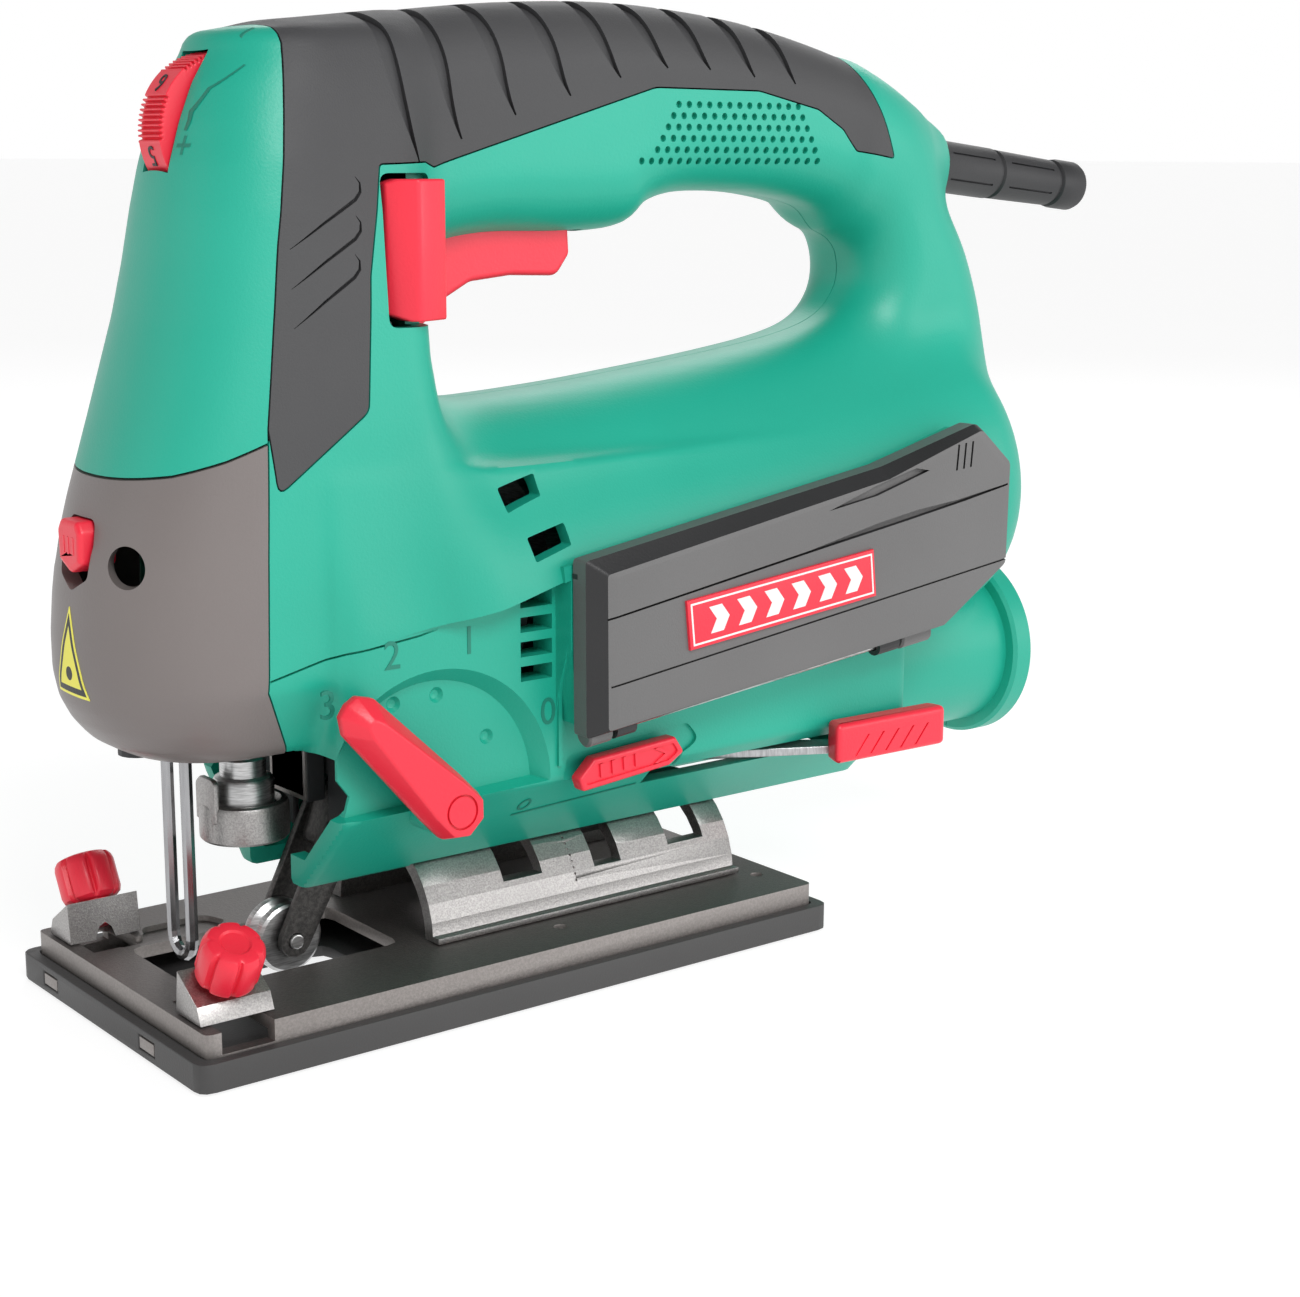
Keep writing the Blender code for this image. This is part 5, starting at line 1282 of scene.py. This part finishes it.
# %% Selector lever and blower slider
def along_lever(u, v):
    """Lever coordinates: u from the pivot towards the tip, v to its left."""
    way = Vector((-39.1 - PIVOT[0], 64.4 - PIVOT[1])).normalized()
    return (PIVOT[0] + way.x * u - way.y * v, PIVOT[1] + way.y * u + way.x * v)


foot_form = mirrored([(-5.9, -2.6), (-2.6, -5.9), (3.5, -5.9), (29.5, -4.6), (32.6, -2.6)], (33.2, 0.0))
top_form = mirrored([(-4.9, -2.2), (-2.2, -4.7), (3.5, -4.5), (26.0, -1.9), (28.4, -1.1)], (28.8, 0.0))
selector = loft("selector_grip", [placed([along_lever(*p) for p in form], "Y", level)
                                  for form, level in ((foot_form, -33.6), (foot_form, -35.4),
                                                      (top_form, -39.1))])
selector = rim(selector, 0.35, 2, 12)
ring = turned("pivot_ring", [(3.1, -39.6), (3.1, -38.5), (3.6, -38.5), (3.6, -39.6)], PIVOT_AXIS, ACROSS, 40,
              closed=True)
cut(selector, ring)
dress(selector, RED, "orbit_selector", "red_plastic", "selector_lever")

slider_form = [(13.0, 41.2), (35.5, 43.2), (39.5, 45.6), (37.0, 49.2), (16.0, 47.8), (12.0, 44.0)]
slide = moulding("slider_grip", rounded([(u, v, 0.9) for u, v in slider_form], 4), "Y", -35.3, -32.2, 0.7,
                 0.2, 4)
cut(slide, prism("slider_dish", rounded([(u, v, 0.7) for u, v in grown(slider_form, -1.2)], 4), "Y", -37,
                 -34.8))
bars = [prism("slider_bar", [(x, 43.2 + 0.09 * x - 1.2), (x + 0.8, 43.2 + 0.09 * x - 1.1),
                             (x + 0.6, 46.1 + 0.09 * x - 1.2), (x - 0.2, 46.0 + 0.09 * x - 1.2)], "Y", -35.2,
              -34.4)
        for x in (17.5, 20.5, 23.5, 26.5)]
arrow = prism("slider_arrow", [(31.5, 44.3), (32.3, 44.2), (36.0, 46.0), (32.4, 47.6), (31.6, 47.3),
                               (34.3, 46.0)], "Y", -35.2, -34.4)
join(slide, *bars, arrow)
stem = block("slider_stem", (18, -33.0, 43.4), (30, -24.2, 46.0))
join(slide, stem)
dress(slide, RED, "blower_slider", "red_plastic", "blow_slider")

# %% [markdown]
# The bevel lever is a pressed steel arm with a red sleeve moulded on its end. The
# sleeve has five slanting grooves for a fingertip.

# %% Bevel lever
arm = moulding("lever_arm", capsule((32, 0), (84, -29.6), 6.0, 3.2, 12), "Z", 37.55, 39.4, 0.25, 0.25, 3)
dress(arm, STEEL_FLAT, "bevel_clamp", "steel", "bevel_lever")
sleeve_form = rounded([(81.2, -37.2, 1.3), (114.6, -38.2, 1.8), (113.6, -32.6, 1.8), (83.6, -31.4, 1.4)], 5)
sleeve = moulding("lever_sleeve", sleeve_form, "Z", 36.2, 45.2, 1.1, 1.3, 5)
cut(sleeve, block("sleeve_slot", (78, -40, 30), (82.6, -20, 36.9)))
grooves = [prism("sleeve_groove", [(x, 37.4), (x + 0.6, 37.4), (x + 4.4, 42.0), (x + 3.8, 42.0)], "Y", -39.5,
                 -37.15)
           for x in (86.5, 91.0, 95.5, 100.0, 104.5)]
cut(sleeve, *grooves)
dress(sleeve, RED, "bevel_clamp", "red_plastic", "bevel_lever_grip")
print("controls made")

# %% [markdown]
# The storage lid is a shallow tray seen from its back. The face slopes in from
# bevelled sides painted near black as shade, three steps run along it, and three
# slits near the corner give a fingernail a hold. Its two hinge knuckles sit on the lower edge.

# %% Storage lid
# a near-black finish that paints shade onto the lid's bevelled sides
LID_SIDE_PAINTED_SHADE = moulded("lid_side_painted_shade", (0.016, 0.016, 0.017), (0.010, 0.010, 0.011), 0.42)


def lid_outline(corners, steps=5):
    return [lid_point(u, v) for u, v in rounded(corners, steps)]


base_form = lid_outline([(0.0, 0.0, 1.0), (99.0, 0.5, 2.0), (119.5, 11.0, 2.0), (122.4, 34.5, 2.0),
                         (113.5, 44.4, 2.5), (84.0, 40.0, 1.5), (3.6, 35.9, 1.0)])
face_form = lid_outline([(4.6, 1.3, 0.8), (98.4, 1.6, 2.0), (118.6, 11.6, 2.0), (121.3, 34.2, 2.0),
                         (113.0, 42.9, 2.0), (84.0, 37.0, 1.5), (7.6, 32.2, 0.8)])
lid = loft("lid_cover", [placed(base_form, "Y", -36.8), placed(base_form, "Y", -41.0),
                         placed([(a[0] * 0.85 + b[0] * 0.15, a[1] * 0.85 + b[1] * 0.15)
                                 for a, b in zip(face_form, base_form)], "Y", -43.4),
                         placed([tuple(Vector(a) * 0.97 + Vector((65, 80)) * 0.03) for a in face_form], "Y",
                                -43.6)])
steps = [([(6.0, 23.6), (62, 26.3), (88, 27.4), (106, 28.3), (120.4, 29.3), (120.4, 29.7), (104, 29.0),
           (92, 29.2), (80, 28.6), (60, 26.7), (6.0, 24.0)], 1.3),
         ([(5.4, 9.8), (119.6, 12.3), (119.6, 12.7), (5.4, 10.2)], 0.7),
         ([(66, 34.0), (80, 34.6), (96, 37.2), (92, 38.4), (80, 36.8)], 1.0)]
for outline, depth in steps:
    cut(lid, prism("lid_step", [lid_point(u, v) for u, v in outline], "Y", -46, -43.55 + depth))
slits = [prism("lid_slit", [lid_point(u + lean, v) for u, v, lean in
                            ((u, 35.6, 0), (u + 0.55, 35.6, 0), (u + 0.55, 41.2, 1.1), (u, 41.2, 1.1))], "Y",
               -46, -42.9)
         for u in (104.0, 106.2, 108.4)]
cut(lid, *slits)
hinge = Vector((math.cos(TILT), 0, math.sin(TILT)))
for start, end in ((1.0, 7.0), (88.0, 97.0)):
    knuckle = turned("knuckle", [(2.0, start), (2.5, start + 0.4), (2.5, end - 0.4), (2.0, end)],
                     (LID_ORIGIN[0], -38.5, LID_ORIGIN[1]), hinge, 28)
    join(lid, knuckle)
dress(lid, LID_GREY, "storage_door", "lid_grey", "storage_lid", angle=20)
# the bevelled side faces, picked by their normals, get the near-black painted shade
two_tone(lid, LID_SIDE_PAINTED_SHADE, lambda normal, at: abs(normal.y) < 0.93 and at.y < -41.3)

# %% Badge with a plain pattern
def lid_prism(name, outline, near, far):
    return prism(name, [lid_point(u, v) for u, v in outline], "Y", near, far)


badge_form = [(25.5, 13.0), (77.5, 13.0), (77.5, 23.4), (25.5, 23.4)]
badge = moulding("badge_plate", [lid_point(u, v) for u, v in badge_form], "Y", -44.35, -43.2, 0.2, 0.0, 3)
dress(badge, RED, "storage_door", "red_plastic", "lid_badge")
frame_band = lid_prism("badge_frame", grown(badge_form, -0.75), -44.45, -44.0)
cut(frame_band, lid_prism("badge_inside", grown(badge_form, -1.15), -45, -43.5))
pattern = [frame_band]
for u in (31.0, 38.5, 46.0, 53.5, 61.0, 68.5):
    pattern.append(lid_prism("badge_bar", [(u, 15.4), (u + 3.4, 15.4), (u + 5.2, 18.2), (u + 3.4, 21.0),
                                           (u, 21.0), (u + 1.8, 18.2)], -44.45, -44.0))
dress(merged("badge_pattern", pattern), WHITE, "storage_door", "lid_grey")
print("lid and badge made")

# %% [markdown]
# Shapes that repeat round an axis come from one tree: a circle of points, each
# carrying a block turned to face outwards. Its inputs are the count, the
# circle's radius and the block's size.

# %% A ring of blocks
ring_tree = Tree("ring_of_blocks", {"Count": "NodeSocketInt", "Radius": "NodeSocketFloat",
                                    "Size": "NodeSocketVector"})
circle = ring_tree.node("GeometryNodeMeshCircle", {}, {"Vertices": ring_tree.given("Count"),
                                                       "Radius": ring_tree.given("Radius")})
spot = ring_tree.node("GeometryNodeInputPosition").outputs[0]
facing = ring_tree.node("FunctionNodeAlignRotationToVector", {"axis": "X"}, {"Vector": spot})
cube = ring_tree.node("GeometryNodeMeshCube", {}, {"Size": ring_tree.given("Size")})
set_out = ring_tree.node("GeometryNodeInstanceOnPoints", {},
                         {"Points": circle.outputs[0], "Instance": cube.outputs[0],
                          "Rotation": facing.outputs[0]})
ring_tree.end(set_out.outputs[0], BLACK)


def ring_of(name, count, radius, size, centre, axis):
    """Blocks in a ring about an axis through centre; size is (outwards, around, along)."""
    thing = ring_tree.run(name, {"Count": count, "Radius": radius * MM, "Size": [s * MM for s in size]})
    turn = Vector((0, 0, 1)).rotation_difference(Vector(axis)).to_matrix().to_4x4()
    thing.data.transform(Matrix.Translation(Vector(centre) * MM) @ turn)
    return thing


# %% Cable boot
boot = turned("boot_sleeve", [(5.9, -15.5), (6.35, -15.0), (6.35, 1.0), (6.1, 1.4), (6.0, 20.6), (5.3, 21.0),
                              (5.3, 21.9), (5.85, 22.3), (5.55, 42.0), (5.0, 42.4), (5.0, 43.2), (5.7, 43.6),
                              (5.95, 45.0), (5.95, 50.6), (5.5, 51.6), (4.4, 51.9), (3.4, 51.6), (2.9, 50.6),
                              (2.9, 44.0)], BOOT, BOOT_WAY, 64)
for start, end, radius in ((4.0, 18.5, 6.1), (24.5, 40.0, 5.75)):
    cut(boot, ring_of("boot_slots", 6, radius, (1.0, 0.5, end - start), BOOT + BOOT_WAY * ((start + end) / 2),
                      BOOT_WAY))
dress(boot, BLACK, "machine", "black_plastic", "cable_boot")

# %% [markdown]
# The working end is bare metal. The clamp is a turned hub with a cross slot for
# the blade, inside a plain ring with a pressed tab. The roller is a grooved
# wheel.

# %% Blade clamp, ring and roller
hub = turned("clamp_hub", [(4.2, 33.5), (4.6, 33.9), (4.6, 34.6), (6.0, 35.0), (6.15, 35.4), (6.15, 46.0),
                           (5.7, 46.8), (4.6, 47.2), (4.6, 50.6), (4.2, 51.0)], PLUNGER, UPRIGHT, 64)
cut(hub, block("blade_slot", (-49.2, -0.75, 30), (-41.6, 0.75, 43.0)))
dress(hub, STEEL, "plunger", "steel", "blade_clamp")
collar = turned("clamp_collar_ring", [(6.6, 34.6), (6.9, 34.4), (8.5, 34.4), (8.95, 34.9), (9.0, 35.6),
                                      (9.0, 41.2), (8.7, 41.9), (8.2, 42.2), (7.4, 42.2), (6.6, 41.0)],
                PLUNGER, UPRIGHT, 72, closed=True)
tab = moulding("clamp_tab", rounded([(-3.9, 38.8, 0.5), (3.9, 38.8, 0.5), (3.9, 46.4, 1.6), (2.0, 47.8, 1.0),
                                     (-3.9, 47.8, 1.6)], 4),
               "X", -54.1, -52.95, 0.25, 0.25, 3)
join(collar, tab)
dress(collar, CAST, "clamp_collar", "cast_alloy", "clamp_ring")
WHEEL = (-37.8, 0.0, 11.9)
tread = mirrored([(1.75, -3.4), (2.0, -3.5), (6.6, -3.5), (7.2, -3.1), (7.25, -2.5), (7.2, -1.4), (6.1, -0.7),
                  (5.9, -0.5)])
roller = turned("roller_wheel", tread, WHEEL, ACROSS, 64, closed=True)
dress(roller, STEEL, "roller", "steel", "guide_roller")

# %% [markdown]
# The shoe is a plastic tray under a blasted metal plate. The pieces start from
# the model's own shapes, and get what a press or a mould adds: soft edges, the
# sunken dish by the window, small holes and pale windows in the tray's front.

# %% Shoe
plate = from_cad("base_plate", "plate")
dish = prism("dish", rounded([(-66.0, 16.6, 1.5), (-44.0, 16.6, 1.5), (-40.5, 19.5, 2.0), (-42.5, 25.5, 3.0),
                              (-57.0, 25.5, 3.0), (-58.5, 21.0, 1.5), (-66.0, 21.0, 1.5)]),
             "Z", 9.0, 12.0)
pits = [rod("plate_hole", (x, y, 0), UPRIGHT, 1.5, 7.0, 12.0, 24)
        for x, y in ((13, -27), (68.8, -25), (13, 27), (68.8, 25))]
cut(plate, dish, *pits)
rim(plate, 0.45, 2, 50)
dress(plate, PLATE, "shoe", "plate_alloy", "base_plate")
two_tone(plate, PLATE_EDGE, lambda normal, at: abs(normal.z) < 0.5)

tray = from_cad("sole_cover", "tray")
tray_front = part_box("sole_cover")[0][0] / MM
WINDOWS = (25.6, -17.9)
windows = [block("tray_window", (tray_front - 2, y - 3.4, 1.3),
                 (tray_front + 0.5, y + 3.4, 4.4)) for y in WINDOWS]
cut(tray, *windows)
rim(tray, 0.5, 2, 50)
dress(tray, SOLE, "shoe", "sole_plastic", "sole_cover")
panes = [moulding("tray_pane", [(y - 3.0, 1.7), (y + 3.0, 1.7), (y + 3.0, 4.0), (y - 3.0, 4.0)], "X",
                  tray_front + 0.05, tray_front + 1.2, 0.15, 0.0, 2) for y in WINDOWS]
dress(merged("tray_panes", panes), PLATE_EDGE, "shoe", "plate_alloy")

for side in ("left", "right"):
    lug = from_cad("guide_lug_" + side, "lug_" + side)
    rim(lug, 0.5, 2, 50)
    dress(lug, CAST, "shoe", "cast_alloy", "guide_lug_" + side)
print("shoe made")

# %% Bevel bracket
bracket = from_cad("bevel_bracket", "bracket")
ticks = [rod("tick", (23.0, 0, BRACKET_Z), (0, -math.cos(a), math.sin(a)), 0.32, 19.5, 21.0, 10)
         for a in (math.radians(degrees) for degrees in range(18, 62, 4))]
cut(bracket, *ticks)
rim(bracket, 0.4, 2, 50)
dress(bracket, CAST, "shoe", "cast_alloy", "bevel_bracket")

# %% Fluted knobs
FLUTES = 7
# radius, depth of the flutes and distance along the stem
KNOB_RINGS = [(2.2, 0, -4.6), (2.2, 0, -1.0), (3.6, 0, -0.9), (3.6, 0, 0.6), (4.9, 0.2, 0.9), (5.8, 0.8, 1.6),
              (6.15, 1.0, 2.6), (6.15, 1.0, 8.4), (5.9, 0.9, 9.4), (5.3, 0.6, 10.2), (4.4, 0.1, 10.5),
              (3.1, 0, 10.5), (2.7, 0, 10.1), (0.6, 0, 10.0)]


def lobed(top, way, radius, depth, level, steps=96):
    """A ring about a stem, with flutes between its lobes."""
    first = Vector(AHEAD)
    second = way.cross(first)
    ring = []
    for a in (2 * math.pi * step / steps for step in range(steps)):
        reach = radius - depth * max(0.0, math.cos(FLUTES * a)) ** 6
        ring.append(top + way * level + first * reach * math.cos(a) + second * reach * math.sin(a))
    return ring


for side, sign in (("left", -1), ("right", 1)):
    top = Vector((-65.8, sign * 28.1, 16.4))
    way = Vector((0, sign * 0.5, 0.866)).normalized()
    knob = loft("knob_%s" % side, [lobed(top, way, *ring) for ring in KNOB_RINGS])
    dress(knob, RED, side + "_knob", "red_plastic", "guide_knob_" + side)
print("bracket and knobs made")

# %% [markdown]
# Everything else keeps the model's own shape: the blower nozzle and the arm
# behind the blade, the wire guard, the screws, and the motor, gear and switch
# inside. Each gets the finish of its slot, so that an opened saw looks right too.

# %% Softened working parts
DARK_CAST = blasted("dark_cast", (0.11, 0.105, 0.10), (0.055, 0.053, 0.052), 0.42, 1300.0, 0.0001, 0.7)
for node, name, finish, body, slot, width in (
        ("roller_arm", "arm_fork", DARK_CAST, "roller_bracket", "cast_alloy", 0.35),
        ("roller_pin", "arm_pin_end", STEEL, "roller_bracket", "steel", 0.3),
        ("blower_nozzle", "nozzle_frame", BLACK, "machine", "black_plastic", 0.3)):
    piece = from_cad(node, name)
    rim(piece, width, 2, 50)
    dress(piece, finish, body, slot, node)
liner = block("liner", (-30.4, -26.0, 32.5), (-29.0, 26.0, 54.6))
liner_lows = [prism("liner_low_%d" % side, [(side * u, v) for u,
                                            v in ((30, 20), (12.5, 20), (12.5, 29.5), (30, 47))],
                    "X", -40, -20) for side in (-1, 1)]
cut(liner, block("liner_way", (-40, -7.3, 20), (-20, 7.3, 46)), *liner_lows)
dress(liner, BLACK, "machine", "black_plastic")
lip_form = rounded([(-7.2, 41.3, 0.6), (7.2, 41.3, 0.6), (7.2, 52.8, 0.6), (-7.2, 52.8, 0.6)], 3)
lip = prism("nozzle_lip", lip_form, "X", -35.5, -34.9)
cut(lip, prism("nozzle_open", grown(lip_form, -0.9), "X", -36.5, -34))
dress(lip, PLATE_EDGE, "machine", "plate_alloy")

# %% Housing screws
def star(centre, radius, depth_share, points=6, steps=12):
    """A six-lobed socket outline."""
    outline = []
    for a in (2 * math.pi * step / (points * steps) for step in range(points * steps)):
        reach = radius * (1 + depth_share * math.cos(points * a))
        outline.append((centre[0] + reach * math.cos(a), centre[1] + reach * math.sin(a)))
    return outline


for centre, number in SCREWS:
    node = "housing_screw_%d" % number
    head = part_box(node)[1][1] / MM
    screw = from_cad(node, "screw_%d" % number)
    cut(screw, prism("socket", star(centre, 1.45, 0.16), "Y", head - 1.4, head + 2))
    dress(rim(screw, 0.25, 2, 50), STEEL, "machine", "steel", node)

# %% Finishes for the carried-over nodes
CARBON = blasted("carbon_block", (0.035, 0.035, 0.036), (0.016, 0.016, 0.017), 0.6, 900.0, 0.0001, 0.0)
BOARD = moulded("circuit_board", (0.020, 0.16, 0.055), (0.014, 0.12, 0.040), 0.4)
SLOT_FINISH = {"green_shell": GREEN, "soft_grip": GRIP, "nose_metallic": NOSE_GREY, "red_plastic": RED,
               "lid_grey": LID_GREY, "black_plastic": BLACK, "sole_plastic": SOLE, "plate_alloy": PLATE,
               "cast_alloy": CAST, "steel": STEEL, "chrome": CHROME, "copper": COPPER, "carbon": CARBON,
               "board_green": BOARD}
for name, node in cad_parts.items():
    slot = node.data.materials[0].name.split(".")[0] if node.data.materials and node.data.materials[0] else ""
    finish = SLOT_FINISH.get(slot, STEEL)
    if slot not in SLOT_FINISH:
        print("no slot name on", name, repr(slot))
    for place in node.material_slots:
        place.material = finish
print(len(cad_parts), "carried-over nodes finished")

# %% Floor
floor = bpy.data.objects.new("floor", bpy.data.meshes.new("floor"))
FLOOR_HALF, FLOOR_Z = 40, -0.0005
floor.data.from_pydata([(x * FLOOR_HALF, y * FLOOR_HALF, FLOOR_Z) for x,
                        y in ((-1, -1), (1, -1), (1, 1), (-1, 1))],
                       [], [(0, 1, 2, 3)])
bpy.context.collection.objects.link(floor)
paper = Network("studio_paper")
paper.set(Base_Color=paper.blend(paper.noise(3.0), (0.24, 0.24, 0.24), (0.26, 0.26, 0.26)), Roughness=0.9,
          Emission_Color=(1.0, 1.0, 1.0), Emission_Strength=0.82)
floor.data.materials.append(paper.material)

# %% Corners of a box as plain numbers
def corners(box):
    return [[float(c) for c in corner] for corner in box]
